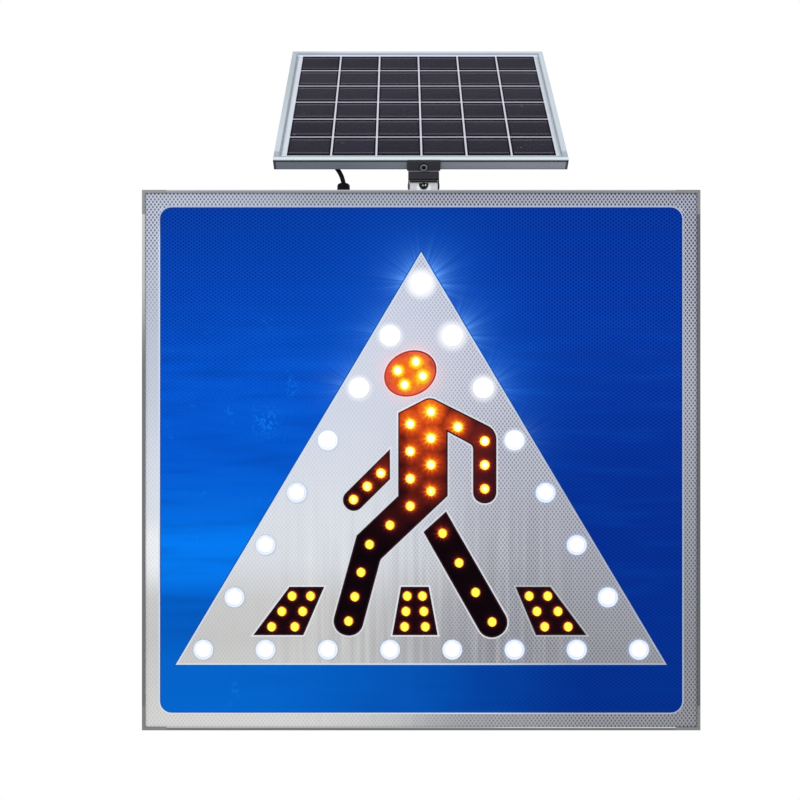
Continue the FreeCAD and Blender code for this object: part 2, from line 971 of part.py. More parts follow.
def rail_profile(centre_z):
    half_base = rail_base_width / 2
    half_channel = rail_channel_width / 2
    inner = half_channel - rail_channel_wall
    mouth = rail_mouth / 2
    base_y = back_y + rail_base_thickness
    right = [
        (half_base, back_y),
        (half_base, base_y),
        (half_channel, base_y),
        (half_channel, 0),
        (mouth, 0),
        (mouth, -rail_lip),
        (inner, -rail_lip),
        (inner, base_y),
    ]
    points = right + [(-z, y) for z, y in reversed(right)]
    corners = [V(-rail_length / 2, y, centre_z + z) for z, y in points]
    return Part.Face(Part.makePolygon(corners + corners[:1]))


def rivet_places():
    # Rivets along both edges of both rails.
    offset = (rail_base_width + rail_channel_width) / 4
    first = -rail_length / 2 + rivet_edge
    step = (rail_length - 2 * rivet_edge) / (rivets_per_row - 1)
    return [
        (first + i * step, rail_z + side * offset)
        for rail_z in (rail_spacing / 2, -rail_spacing / 2)
        for side in (-1, 1)
        for i in range(rivets_per_row)
    ]


def make_rails():
    for name, z in (("rail_upper", rail_spacing / 2), ("rail_lower", -rail_spacing / 2)):
        rail = rail_profile(z).extrude(V(rail_length, 0, 0))
        drills = [
            cylinder(V(px, back_y - 1, pz), V(0, 1, 0), rivet_radius, rail_base_thickness + 2)
            for px, pz in rivet_places()
            if abs(pz - z) < rail_base_width
        ]
        parts[name] = rail.cut(drills)
    made = []
    for px, pz in rivet_places():
        stem_y = cover_y - rivet_tail_height
        stem = cylinder(V(px, stem_y, pz), V(0, 1, 0), rivet_radius,
                        back_y + rail_base_thickness - stem_y)
        head = Part.makeCone(rivet_head_radius, rivet_head_top_radius, rivet_head_height,
                             V(px, back_y + rail_base_thickness, pz), V(0, 1, 0))
        tail = cylinder(V(px, stem_y, pz), V(0, 1, 0), rivet_tail_radius, rivet_tail_height)
        made.append(stem.fuse([head, tail]))
    parts["rail_rivets"] = Part.makeCompound(made)


# Solar panel, modelled flat with x across, y up the slope and z out of the glass, then tilted into place

def tilted(shape):
    placed = shape.copy()
    placed.rotate(V(0, 0, 0), V(1, 0, 0), panel_tilt)
    placed.translate(panel_origin)
    return placed


def tilted_point(x, s, n):
    turn = math.radians(panel_tilt)
    return V(
        x,
        panel_origin.y + s * math.cos(turn) - n * math.sin(turn),
        panel_origin.z + s * math.sin(turn) + n * math.cos(turn),
    )


def panel_side(start, inward, along, length):
    # A mitred side of the panel's frame: outer wall, top lip, glass groove and bottom flange.
    groove_top = -panel_lip_thickness
    groove_bottom = groove_top - laminate_depth() - laminate_gap
    web = groove_bottom - panel_wall
    points = [
        (0, 0),
        (panel_lip, 0),
        (panel_lip, groove_top),
        (panel_wall, groove_top),
        (panel_wall, groove_bottom),
        (panel_lip, groove_bottom),
        (panel_lip, web),
        (panel_wall, web),
        (panel_wall, -panel_thickness + panel_wall),
        (panel_flange, -panel_thickness + panel_wall),
        (panel_flange, -panel_thickness),
        (0, -panel_thickness),
    ]
    corners = [start + inward * u + V(0, 0, n) for u, n in points]
    bar = Part.Face(Part.makePolygon(corners + corners[:1])).extrude(along * length)
    far = panel_flange + 5
    outline = [
        start,
        start + along * length,
        start + along * (length - far) + inward * far,
        start + along * far + inward * far,
        start,
    ]
    lift = V(0, 0, -panel_thickness - 1)
    keep = Part.Face(Part.makePolygon([p + lift for p in outline]))
    return bar.common(keep.extrude(V(0, 0, panel_thickness + 2)))


def laminate_depth():
    return glass_thickness + cell_thickness + backsheet_thickness


def make_panel():
    w = panel_width / 2
    x_way = V(1, 0, 0)
    s_way = V(0, 1, 0)
    parts["panel_frame_front"] = tilted(
        panel_side(V(-w, 0, 0), s_way, x_way, panel_width).cut(flange_screw_hole(0))
    )
    parts["panel_frame_back"] = tilted(
        panel_side(V(-w, panel_length, 0), s_way * -1, x_way, panel_width)
    )
    parts["panel_frame_left"] = tilted(panel_side(V(-w, 0, 0), x_way, s_way, panel_length))
    parts["panel_frame_right"] = tilted(
        panel_side(V(w, 0, 0), x_way * -1, s_way, panel_length)
    )
    edge = panel_wall + laminate_gap
    top = -panel_lip_thickness
    layers = (
        ("panel_glass", glass_thickness),
        (None, cell_thickness),
        ("panel_backsheet", backsheet_thickness),
    )
    for name, thickness in layers:
        if name:
            parts[name] = tilted(
                block(-w + edge, w - edge, edge, panel_length - edge, top - thickness, top)
            )
        else:
            parts["solar_cells"] = tilted(cells(top - thickness, thickness))
        top -= thickness
    parts["panel_seal"] = tilted(glass_seal())


def glass_seal():
    # The rubber bead on the glass along the inner edges of the frame's lips.
    inner = panel_lip + seal_width
    w = panel_width / 2
    low = -panel_lip_thickness
    high = low + seal_height
    ring = block(-w + panel_lip, w - panel_lip, panel_lip, panel_length - panel_lip, low, high)
    return ring.cut(block(-w + inner, w - inner, inner, panel_length - inner, low - 1, high + 1))


def cells(bottom, thickness):
    start_x = -panel_width / 2 + cell_margin_left
    start_s = cell_margin_front
    made = []
    for i in range(cells_across):
        for j in range(cells_deep):
            x = start_x + i * cell_pitch_x + cell_gap / 2
            s = start_s + j * cell_pitch_s + cell_gap / 2
            made.append(
                block(x, x + cell_pitch_x - cell_gap, s, s + cell_pitch_s - cell_gap,
                      bottom, bottom + thickness)
            )
    return Part.makeCompound(made)


def make_junction():
    top = -panel_lip_thickness - laminate_depth()
    x0 = junction_x - junction_width / 2
    box = block(x0, x0 + junction_width, junction_s, junction_s + junction_length,
                top - junction_depth, top)
    uprights = [e for e in box.Edges if abs(e.Vertexes[0].Z - e.Vertexes[1].Z) > 1]
    box = box.makeFillet(junction_round, uprights)
    rim = [e for e in box.Edges if all(abs(v.Z - top + junction_depth) < 0.01 for v in e.Vertexes)]
    box = box.makeChamfer(junction_chamfer, rim)
    collar = cylinder(V(lead_collar_x, junction_s - lead_collar_length, lead_collar_n),
                      V(0, 1, 0), lead_collar_radius, lead_collar_length + 2)
    parts["junction_box"] = tilted(box.fuse(collar))


# Tilt bracket

def side_face(points, x):
    # A face in the plane x from (y, z) points.
    corners = [V(x, y, z) for y, z in points]
    return Part.Face(Part.makePolygon(corners + corners[:1]))


def cheek_span():
    inner = knuckle_length / 2 + cheek_gap
    return inner, inner + cheek_thickness


def flange_screw_hole(gap):
    return cylinder(V(bracket_x, -bracket_sheet - 1, -flange_screw_depth), V(0, 1, 0),
                    flange_screw_radius + gap, bracket_sheet + panel_wall + 2)


def make_tilt_bracket():
    # A bent plate: flange against the panel frame, upright web over the pivot, and a cheek at each side.
    inner, outer = cheek_span()
    half_flange = bracket_flange_width / 2
    flange = block(bracket_x - half_flange, bracket_x + half_flange, -bracket_sheet, 0,
                   -bracket_flange_end, -bracket_flange_start)
    corners = [e for e in flange.Edges if abs(e.Vertexes[0].Y - e.Vertexes[1].Y) > 1]
    flange = tilted(flange.makeFillet(bracket_flange_round, corners).cut(flange_screw_hole(screw_hole_gap)))
    low_front = tilted_point(0, -bracket_sheet, -bracket_flange_end)
    low_back = tilted_point(0, 0, -bracket_flange_end)
    web_front = low_back.y - bracket_sheet
    web_bottom = pivot.z + knuckle_radius + bracket_web_gap
    web = side_face(
        [
            (web_front, web_bottom),
            (low_back.y, web_bottom),
            (low_back.y, low_back.z),
            (low_front.y, low_front.z),
            (web_front, low_front.z - bracket_sheet),
        ],
        bracket_x - outer,
    ).extrude(V(2 * outer, 0, 0))
    pieces = [web]
    for x in (bracket_x - outer, bracket_x + inner):
        disc = cylinder(pivot_at(x), V(1, 0, 0), cheek_radius, cheek_thickness)
        ear = side_face(
            [
                (pivot.y - cheek_radius, pivot.z),
                (pivot.y + cheek_radius, pivot.z),
                (low_back.y + bracket_sheet, low_front.z),
                (web_front, low_front.z - bracket_sheet),
            ],
            x,
        ).extrude(V(cheek_thickness, 0, 0))
        pieces.append(disc.fuse(ear))
    bore = cylinder(pivot_at(bracket_x - outer - 1), V(1, 0, 0), pivot_pin_radius, 2 * outer + 2)
    parts["tilt_bracket"] = flange.fuse(pieces).cut(bore).removeSplitter()


def pivot_at(x, raised=0.0):
    return V(x, pivot.y, pivot.z + raised)


def make_pivot():
    # A pin through both cheeks, with a low domed head at each end.
    outer = cheek_span()[1]
    pin = cylinder(pivot_at(bracket_x - outer), V(1, 0, 0), pivot_pin_radius, 2 * outer)
    heads = []
    for x, way in ((bracket_x - outer, -1), (bracket_x + outer, 1)):
        height = pivot_head_height
        ball = (pivot_head_radius**2 + height**2) / (2 * height)
        dome = Part.makeSphere(ball, pivot_at(x + way * (height - ball)))
        heads.append(dome.common(cylinder(pivot_at(x), V(way, 0, 0), pivot_head_radius, height)))
    parts["pivot_pin"] = pin.fuse(heads)


def fixing_places():
    return [(bracket_x + side * fixing_screw_x, pivot.y + fixing_screw_back)
            for side in (-1, 1)]


def make_knuckle():
    # The fixed half of the joint: a rounded block with a foot behind it that is screwed to the roof.
    half = knuckle_length / 2
    x0 = bracket_x - half
    x1 = bracket_x + half
    drum = cylinder(pivot_at(x0), V(1, 0, 0), knuckle_radius, knuckle_length)
    stand = block(x0, x1, pivot.y - knuckle_radius, pivot.y + knuckle_radius, roof_z, pivot.z)
    foot = block(x0, x1, pivot.y, pivot.y + knuckle_foot_back, roof_z,
                 roof_z + knuckle_foot_thickness)
    corners = [e for e in foot.Edges if abs(e.Vertexes[0].Z - e.Vertexes[1].Z) > 1
               and e.CenterOfMass.y > pivot.y + 1]
    foot = foot.makeFillet(knuckle_foot_round, corners)
    front = pivot.y - knuckle_radius
    tools = [
        cylinder(pivot_at(x0 - 1), V(1, 0, 0), pivot_pin_radius + pivot_running_gap,
                 knuckle_length + 2),
        cylinder(V(bracket_x, front - 1, pivot.z + lock_screw_raise), V(0, 1, 0),
                 lock_screw_radius, knuckle_radius + 1),
    ]
    for x, y in fixing_places():
        tools.append(cylinder(V(x, y, roof_z - 1), V(0, 0, 1),
                              fixing_screw_radius + screw_hole_gap,
                              knuckle_foot_thickness + 2))
    parts["bracket_knuckle"] = drum.fuse([stand, foot]).cut(tools).removeSplitter()


def make_lock_screw():
    # The black screw in the knuckle's front that locks the tilt. Its head has one flat, and its tip
    # stays just clear of the pin.
    front = pivot.y - knuckle_radius
    tip = pivot.y - pivot_pin_radius - pivot_running_gap - lock_clearance
    base = V(bracket_x, front - lock_head_height, pivot.z + lock_screw_raise)
    head = cylinder(base, V(0, 1, 0), lock_head_radius, lock_head_height)
    above = block(bracket_x - lock_head_radius - 1, bracket_x + lock_head_radius + 1,
                  base.y - 1, front + 1, base.z + lock_head_flat, base.z + lock_head_radius + 1)
    shank = cylinder(base, V(0, 1, 0), lock_screw_radius, tip - base.y)
    socket = hexagon(base - V(0, 0, lock_socket_drop), V(0, 1, 0), lock_socket_across, socket_depth)
    parts["tilt_lock_screw"] = head.cut(above).fuse(shank).cut(socket)


def make_fixing():
    # Two screws through the knuckle's foot and the roof into a plate inside the box.
    inside = roof_z - frame_wall - backing_thickness
    seat = roof_z + knuckle_foot_thickness
    plate = block(bracket_x - backing_width / 2, bracket_x + backing_width / 2,
                  chamber_back_y + backing_gap, port_front_y - backing_gap,
                  inside, inside + backing_thickness)
    screws = []
    drills = []
    for x, y in fixing_places():
        shank = cylinder(V(x, y, inside - 1), V(0, 0, 1), fixing_screw_radius, seat - inside + 1)
        cap = cylinder(V(x, y, seat), V(0, 0, 1), fixing_head_radius, fixing_head_height)
        cap = cap.makeChamfer(screw_head_chamfer, round_edges(cap, 2, seat + fixing_head_height))
        screws.append(shank.fuse(cap))
        drills.append(cylinder(V(x, y, inside - 2), V(0, 0, 1), fixing_screw_radius,
                               backing_thickness + 4))
    parts["knuckle_screws"] = Part.makeCompound(screws)
    parts["knuckle_backing_plate"] = plate.cut(drills)


def round_edges(shape, axis, level):
    # The circular edges that lie at one level along the axis with this number.
    return [e for e in shape.Edges
            if len(e.Vertexes) == 1 and abs(e.CenterOfMass[axis] - level) < 0.01]


def hexagon(base, axis, across, height):
    # A hexagonal prism, across its flats, that stands on base along axis.
    radius = across / math.sqrt(3)
    points = [
        V(radius * math.cos(math.radians(60 * i)), radius * math.sin(math.radians(60 * i)), 0)
        for i in range(7)
    ]
    prism = Part.Face(Part.makePolygon(points)).extrude(V(0, 0, height))
    prism.Placement = FreeCAD.Placement(base, FreeCAD.Rotation(V(0, 0, 1), axis))
    return prism


def make_flange_screw():
    # The socket screw that holds the bracket's flange to the front bar of the panel.
    top = -bracket_sheet - flange_screw_head_height
    base = V(bracket_x, top, -flange_screw_depth)
    head = cylinder(base, V(0, 1, 0), flange_screw_head, flange_screw_head_height)
    head = head.makeFillet(flange_screw_round, round_edges(head, 1, top))
    shank = cylinder(base, V(0, 1, 0), flange_screw_radius,
                     flange_screw_head_height + bracket_sheet + panel_wall + flange_screw_reach)
    socket = hexagon(base, V(0, 1, 0), flange_screw_socket, socket_depth)
    parts["flange_screw"] = tilted(head.fuse(shank).cut(socket))


# Gland and lead

def make_gland():
    y = front_y + gland_setback
    base = V(gland_x, y, roof_z)
    hexed = hexagon(base, V(0, 0, 1), gland_hex_across, gland_hex_height)
    thread = cylinder(V(gland_x, y, roof_z - frame_wall - gland_tail), V(0, 0, 1),
                      gland_thread_radius, frame_wall + gland_tail)
    bore = cylinder(V(gland_x, y, roof_z - frame_wall - gland_tail - 1), V(0, 0, 1),
                    lead_radius + gland_bore_gap,
                    frame_wall + gland_tail + gland_hex_height + 2)
    parts["cable_gland"] = hexed.fuse(thread).cut(bore)
    cap_base = roof_z + gland_hex_height
    cap = cylinder(V(gland_x, y, cap_base), V(0, 0, 1), gland_cap_radius, gland_cap_height)
    rim = round_edges(cap, 2, cap_base + gland_cap_height)
    parts["gland_cap"] = cap.makeFillet(gland_cap_round, rim)
    nut_z = roof_z - frame_wall - locknut_height
    nut = hexagon(V(gland_x, y, nut_z), V(0, 0, 1), locknut_across, locknut_height)
    parts["gland_locknut"] = nut.cut(
        cylinder(V(gland_x, y, nut_z - 1), V(0, 0, 1), gland_thread_radius, locknut_height + 2)
    )


def lead_points():
    # The lead's route from the gland cap up to the collar of the junction box, which it enters along the slope.
    end = tilted_point(lead_collar_x, junction_s - lead_collar_length, lead_collar_n)
    before = tilted_point(lead_collar_x, junction_s - lead_collar_length - lead_last_run,
                          lead_collar_n)
    return [V(*p) for p in lead_route] + [before, end]


def tube_along(points, radius, name):
    # Straight runs joined by tangent arcs, each as large as its two runs allow.
    edges = []
    radii = []
    start = points[0]
    for before, here, after in zip(points, points[1:], points[2:]):
        back = before - here
        ahead = after - here
        reach = lead_bend_share * min(back.Length, ahead.Length)
        half = back.getAngle(ahead) / 2
        bend = reach * math.tan(half)
        radii.append(round(bend, 1))
        back.normalize()
        ahead.normalize()
        first = here + back * reach
        last = here + ahead * reach
        way = back + ahead
        way.normalize()
        middle = here + way * (bend / math.sin(half) - bend)
        edges.append(Part.LineSegment(start, first).toShape())
        edges.append(Part.Arc(first, middle, last).toShape())
        start = last
    edges.append(Part.LineSegment(start, points[-1]).toShape())
    path = Part.Wire(edges)
    ring = Part.Wire([Part.Circle(points[0], points[1] - points[0], radius).toShape()])
    tube = path.makePipeShell([ring], True, False)
    wanted = math.pi * radius * radius * path.Length
    print(name, "radii", radii, "length", round(path.Length, 1),
          "volume share", round(tube.Volume / wanted, 4))
    return tube


# Pieces inside the box

def make_electrics():
    sx, sy, sz = battery_size
    cx, cz = battery_centre
    battery = block(cx - sx / 2, cx + sx / 2, cover_y - sy, cover_y, cz - sz / 2, cz + sz / 2)
    long_edges = [e for e in battery.Edges if abs(e.Vertexes[0].X - e.Vertexes[1].X) > 1]
    front_edges = [e for e in long_edges if e.CenterOfMass.y < cover_y - sy / 2]
    parts["battery_pack"] = battery.makeFillet(battery_round, front_edges)
    half = clamp_width / 2
    outer = clamp_sheet + clamp_gap
    front = cover_y - sy - outer
    top = cz + sz / 2 + outer
    bottom = cz - sz / 2 - outer
    hoop = block(cx - half, cx + half, front, cover_y, bottom, top).cut(
        block(cx - half - 1, cx + half + 1, front + clamp_sheet, cover_y + 1,
              bottom + clamp_sheet, top - clamp_sheet)
    )
    feet = [
        block(cx - half, cx + half, cover_y - clamp_sheet, cover_y, top - clamp_sheet,
              top + clamp_foot),
        block(cx - half, cx + half, cover_y - clamp_sheet, cover_y, bottom - clamp_foot,
              bottom + clamp_sheet),
    ]
    parts["battery_clamp"] = hoop.fuse(feet).removeSplitter()
    sx, sy, sz = controller_size
    cx, cz = controller_centre
    case = block(cx - sx / 2, cx + sx / 2, cover_y - sy, cover_y, cz - sz / 2, cz + sz / 2)
    uprights = [e for e in case.Edges if abs(e.Vertexes[0].Y - e.Vertexes[1].Y) > 1]
    case = case.makeFillet(controller_round, uprights)
    tx, ty, tz = terminal_size
    back = cover_y - terminal_back_gap
    terminal = block(cx - tx / 2, cx + tx / 2, back - ty, back, cz - sz / 2 - tz, cz - sz / 2)
    parts["charge_controller"] = case.fuse(terminal)


def make_switch():
    y = switch_y
    floor = -half_h
    down = V(0, 0, -1)
    body = cylinder(V(switch_x, y, floor + switch_body_height), down, switch_radius,
                    switch_body_height)
    bezel = cylinder(V(switch_x, y, floor), down, switch_bezel_radius, switch_bezel_height)
    bezel = bezel.makeChamfer(switch_bezel_chamfer, round_edges(bezel, 2, floor - switch_bezel_height))
    well = button_depth - button_proud + button_travel + button_well_gap
    pocket = cylinder(V(switch_x, y, floor - switch_bezel_height + well), down,
                      button_radius + button_gap, well + 1)
    nut_z = floor + frame_wall
    nut = hexagon(V(switch_x, y, nut_z), V(0, 0, 1), switch_nut_across, switch_nut_height)
    parts["switch_body"] = body.fuse([bezel, nut]).cut(pocket).removeSplitter()
    tip = floor - switch_bezel_height - button_proud
    button = cylinder(V(switch_x, y, tip), V(0, 0, 1), button_radius, button_depth)
    parts["switch_button"] = button.makeChamfer(button_chamfer, round_edges(button, 2, tip))


def make_wires():
    # Both wires leave their ends straight; the battery's one bends through a quarter of an ellipse.
    y = front_y + gland_setback
    cx, cz = controller_centre
    top = V(gland_x, y, roof_z - frame_wall - gland_tail)
    case = V(gland_x + wire_step_x, y + wire_step_y, cz + controller_size[2] / 2)
    run = V(0, 0, wire_run)
    parts["wire_from_panel"] = tube_along(
        [top, top - run, case + run, case], wire_radius, "wire_from_panel"
    )
    terminal_z = cz - controller_size[2] / 2 - terminal_size[2]
    start = V(cx + wire_exit_x, cover_y - terminal_back_gap - terminal_size[1] / 2, terminal_z)
    end = V(battery_centre[0] - battery_size[0] / 2, start.y, battery_centre[1])
    reach = end.x - wire_run - start.x
    drop = start.z - wire_run - end.z
    route = [start]
    for angle in (0, 30, 60, 90):
        turn = math.radians(angle)
        route.append(V(start.x + reach * (1 - math.cos(turn)), start.y,
                       start.z - wire_run - drop * math.sin(turn)))
    parts["wire_to_battery"] = tube_along(route + [end], wire_radius, "wire_to_battery")


def main():
    make_frame()
    make_face()
    make_black_films()
    make_lamps()
    make_cover()
    make_rails()
    make_panel()
    make_junction()
    make_tilt_bracket()
    make_pivot()
    make_knuckle()
    make_lock_screw()
    make_fixing()
    make_flange_screw()
    make_gland()
    parts["panel_lead"] = tube_along(lead_points(), lead_radius, "panel_lead")
    make_electrics()
    make_switch()
    make_wires()
    os.makedirs("parts", exist_ok=True)
    for name, shape in parts.items():
        solids = Part.makeCompound(shape.Solids) if len(shape.Solids) > 1 else shape.Solids[0]
        if not solids.isValid():
            print("not valid:", name)
        solids.exportStep(os.path.join("parts", name + ".step"))
    print(len(parts), "nodes")


main()
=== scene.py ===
import math

import bmesh
import bpy
import numpy as np
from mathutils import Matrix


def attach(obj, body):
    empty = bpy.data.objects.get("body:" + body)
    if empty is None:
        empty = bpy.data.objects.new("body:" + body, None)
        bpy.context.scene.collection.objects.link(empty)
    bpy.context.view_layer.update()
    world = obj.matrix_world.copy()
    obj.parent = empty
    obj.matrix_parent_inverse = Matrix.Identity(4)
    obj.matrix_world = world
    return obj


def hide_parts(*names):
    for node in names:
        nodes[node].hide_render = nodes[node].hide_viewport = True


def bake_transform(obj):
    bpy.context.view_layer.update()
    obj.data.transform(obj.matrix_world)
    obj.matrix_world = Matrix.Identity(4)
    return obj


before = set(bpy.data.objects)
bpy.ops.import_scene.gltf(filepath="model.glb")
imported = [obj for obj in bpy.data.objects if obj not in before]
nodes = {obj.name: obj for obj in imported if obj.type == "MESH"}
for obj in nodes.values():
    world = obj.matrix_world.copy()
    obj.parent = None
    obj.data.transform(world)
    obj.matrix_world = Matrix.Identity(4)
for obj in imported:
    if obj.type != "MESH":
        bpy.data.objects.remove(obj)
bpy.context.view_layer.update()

mm = 0.001  # sizes below are in millimetres where they are multiplied by this
print("frame loaded,", len(nodes), "nodes")


def tone(red, green, blue):
    # a screen colour from 0 to 255 as the linear colour that a shader takes
    part = np.array([red, green, blue]) / 255
    linear = np.where(part > 0.04045, ((part + 0.055) / 1.055) ** 2.4, part / 12.92)
    return (*linear.tolist(), 1.0)


class Port:
    # a socket in a material's tree: arithmetic on it adds Math nodes, node() adds any node

    def __init__(self, tree, socket=None):
        self.tree = tree
        self.socket = socket

    def node(self, kind, settings=None, inputs=None, out=0):
        made = self.tree.nodes.new("ShaderNode" + kind)
        for name, value in (settings or {}).items():
            if name == "stops":
                self.setStops(made.color_ramp, value)
            else:
                setattr(made, name, value)
        for name, value in (inputs or {}).items():
            if isinstance(value, Port):
                self.tree.links.new(value.socket, made.inputs[name])
            else:
                made.inputs[name].default_value = value
        return Port(self.tree, made.outputs[out] if len(made.outputs) else None)

    def setStops(self, ramp, stops):
        # stops are (place, red, green, blue)
        while len(ramp.elements) < len(stops):
            ramp.elements.new(1.0)
        for element, (place, *colour) in zip(ramp.elements, stops):
            element.position = place
            element.color = tone(*colour)

    def beside(self, out):
        # another output of the same node
        return Port(self.tree, self.socket.node.outputs[out])

    def maths(self, operation, *others, kind="Math", out=0):
        inputs = dict(enumerate((self, *others)))
        return self.node(kind, {"operation": operation}, inputs, out)

    def vector(self, operation, *others, out=0):
        return self.maths(operation, *others, kind="VectorMath", out=out)

    def __add__(self, other):
        return self.maths("ADD", other)

    def __sub__(self, other):
        return self.maths("SUBTRACT", other)

    def __rsub__(self, other):
        return self.maths("MULTIPLY_ADD", -1.0, other)

    def __mul__(self, other):
        return self.maths("MULTIPLY", other)

    def __truediv__(self, other):
        return self.maths("DIVIDE", other)

    def __pow__(self, other):
        return self.maths("POWER", other)

    def __abs__(self):
        return self.maths("ABSOLUTE")

    __radd__ = __add__
    __rmul__ = __mul__


# what endFinish calls the shader's inputs
shaderInputs = {"shine": "Specular IOR Level", "metal": "Metallic", "normal": "Normal",
                "alpha": "Alpha", "glow": "Emission Color", "power": "Emission Strength",
                "coat": "Coat Weight", "coatRough": "Coat Roughness"}


def startFinish(name):
    # the piece's own coordinates in a new empty material
    material = bpy.data.materials.new(name)
    material.use_nodes = True
    material.node_tree.nodes.clear()
    return Port(material.node_tree).node("TexCoord", out="Object")


def closed(here, shader):
    # the material, with the shader as its surface
    here.node("OutputMaterial", {}, {"Surface": shader})
    return next(material for material in bpy.data.materials if material.node_tree == here.tree)


def endFinish(here, base, rough, **more):
    inputs = {shaderInputs[name]: value for name, value in more.items()}
    inputs.update({"Base Color": base, "Roughness": rough})
    return closed(here, here.node("BsdfPrincipled", {}, inputs))


def axesOf(here):
    # x and z: no finish here changes with the depth alone
    x = here.node("SeparateXYZ", {}, {0: here})
    return x, x.beside(2)


def rising(value, low, high):
    # 0 below low, 1 above high and smooth between them; the two may be sockets
    return value.node("MapRange", {"interpolation_type": "SMOOTHSTEP"},
                      {"Value": value, "From Min": low, "From Max": high})


def falling(value, low, high):
    return 1.0 - rising(value, low, high)


def step(value, low, high):
    # rises between two numbers, or falls where the first is the larger
    return falling(value, high, low) if low > high else rising(value, low, high)


def mixed(share, first, second):
    # the first colour where share is 0, the second where it is 1; three numbers are a screen colour
    first, second = (tone(*part) if isinstance(part, tuple) else part for part in (first, second))
    return share.node("Mix", {"data_type": "RGBA"}, {0: share, 6: first, 7: second}, 2)


def layered(base, *coats):
    # each coat is (share, colour) and goes over what is there
    for share, colour in coats:
        base = mixed(share, base, colour)
    return base


def ramped(share, stops):
    return share.node("ValToRGB", {"stops": stops}, {"Fac": share})


def waved(base, wave, pale, deep):
    # a colour where the wave is above 0 and another where it is below, each as (strength, colour)
    for sign, (strength, colour) in ((1.0, pale), (-1.0, deep)):
        base = mixed((wave * sign).maths("MAXIMUM", 0.0) * strength, base, colour)
    return base


def reachFrom(place, x, z):
    # the distance from a place to this point, in two of its directions
    right, up = x - place[0], z - place[1]
    return (right * right + up * up) ** 0.5


def strongest(shares):
    # the largest of several shares at each point
    total = shares[0]
    for share in shares[1:]:
        total = total.maths("MAXIMUM", share)
    return total


def stretched(here, scale):
    return here.vector("MULTIPLY", scale)


def cloud(here, scale, detail=4.0, rough=0.55):
    # soft noise from 0 to 1
    return here.node("TexNoise", {}, {"Vector": here, "Scale": scale, "Detail": detail,
                                      "Roughness": rough})


def bumped(height, strength, distance=0.2 * mm):
    return height.node("Bump", {}, {"Height": height, "Strength": strength, "Distance": distance})


def dress(material, starts):
    # on every node whose name starts with one of the words
    for name in nodes:
        if name.startswith(tuple(starts.split())):
            nodes[name].data.materials.clear()
            nodes[name].data.materials.append(material)


# Camera: square to the face, as the picture was taken, a little left of its middle
camera = {"place": (-23.5 * mm, -1013.5 * mm, 66.7 * mm), "lens": 38.25}
scene = bpy.context.scene
eye = bpy.data.objects.new("eye", bpy.data.cameras.new("eye"))
eye.data.lens = camera["lens"]
eye.data.sensor_width = 36.0
eye.location = camera["place"]
eye.rotation_euler = (math.pi / 2, 0, 0)
scene.collection.objects.link(eye)
scene.camera = eye
print("camera set")


# Lead from the gland up to the panel's junction box
lead = {
    "diameter": 5.2 * mm,
    "length": 0.1935,
    "sides": 20,
    "route": [
        (-88.0, -42.0, 314.0), (-88.8, -42.0, 318.6), (-92.0, -40.4, 326.5),
        (-96.8, -35.6, 334.0), (-101.2, -27.5, 341.4), (-104.8, -18.4, 348.6),
        (-107.0, -10.0, 354.8), (-108.4, -2.1, 360.0),
        (-108.1, 5.6, 365.7), (-105.8, 12.8, 371.7), (-101.7, 18.9, 377.7), (-96.1, 24.0, 383.6),
        (-89.3, 28.0, 389.1), (-81.9, 31.1, 394.3), (-74.1, 33.7, 399.3), (-66.3, 35.9, 404.5),
        (-58.8, 38.2, 410.0), (-51.9, 40.8, 416.0), (-46.1, 44.4, 422.8), (-43.3, 47.9, 428.2),
        (-42.0, 52.1, 433.59), (-42.0, 56.84, 438.74),
    ],
    "bendsFrom": (-92.0, -43.5, 312.7),
    "bendsTo": (-92.0, -28.2, 325.6),
}


def readRoute(points):
    # the points of a smooth spline that has the given ones as its control points
    curve = bpy.data.curves.new("leadRoute", "CURVE")
    curve.dimensions = "3D"
    curve.resolution_u = 12
    spline = curve.splines.new("NURBS")
    spline.points.add(len(points) - 1)
    control = np.c_[np.array(points) * mm, np.ones(len(points))]
    spline.points.foreach_set("co", control.ravel())
    spline.order_u = 3
    spline.use_endpoint_u = True
    holder = bpy.data.objects.new("leadRoute", curve)
    mesh = bpy.data.meshes.new_from_object(holder)
    line = np.empty(len(mesh.vertices) * 3)
    mesh.vertices.foreach_get("co", line)
    bpy.data.objects.remove(holder)
    bpy.data.meshes.remove(mesh)
    bpy.data.curves.remove(curve)
    return line.reshape(-1, 3)


def gridMesh(name, points, around, uv=None):
    # a mesh over a grid of points, rows by columns, joined round its columns if around is set
    rows, columns = points.shape[:2]
    index = np.arange(rows * columns).reshape(rows, columns)
    if around:
        index = np.c_[index, index[:, :1]]
    faces = np.stack([index[:-1, :-1], index[:-1, 1:], index[1:, 1:], index[1:, :-1]], -1)
    faces = faces.reshape(-1, 4)
    mesh = bpy.data.meshes.new(name)
    mesh.from_pydata(points.reshape(-1, 3).tolist(), [], faces.tolist())
    if uv is not None:
        layer = mesh.uv_layers.new(name="along")
        loops = np.empty(len(mesh.loops), int)
        mesh.loops.foreach_get("vertex_index", loops)
        layer.data.foreach_set("uv", uv.reshape(-1, 2)[loops].ravel())
    return mesh


def linkPiece(name, mesh, material):
    piece = bpy.data.objects.new(name, mesh)
    scene.collection.objects.link(piece)
    mesh.materials.append(material)
    mesh.polygons.foreach_set("use_smooth", np.ones(len(mesh.polygons), bool))
    return piece


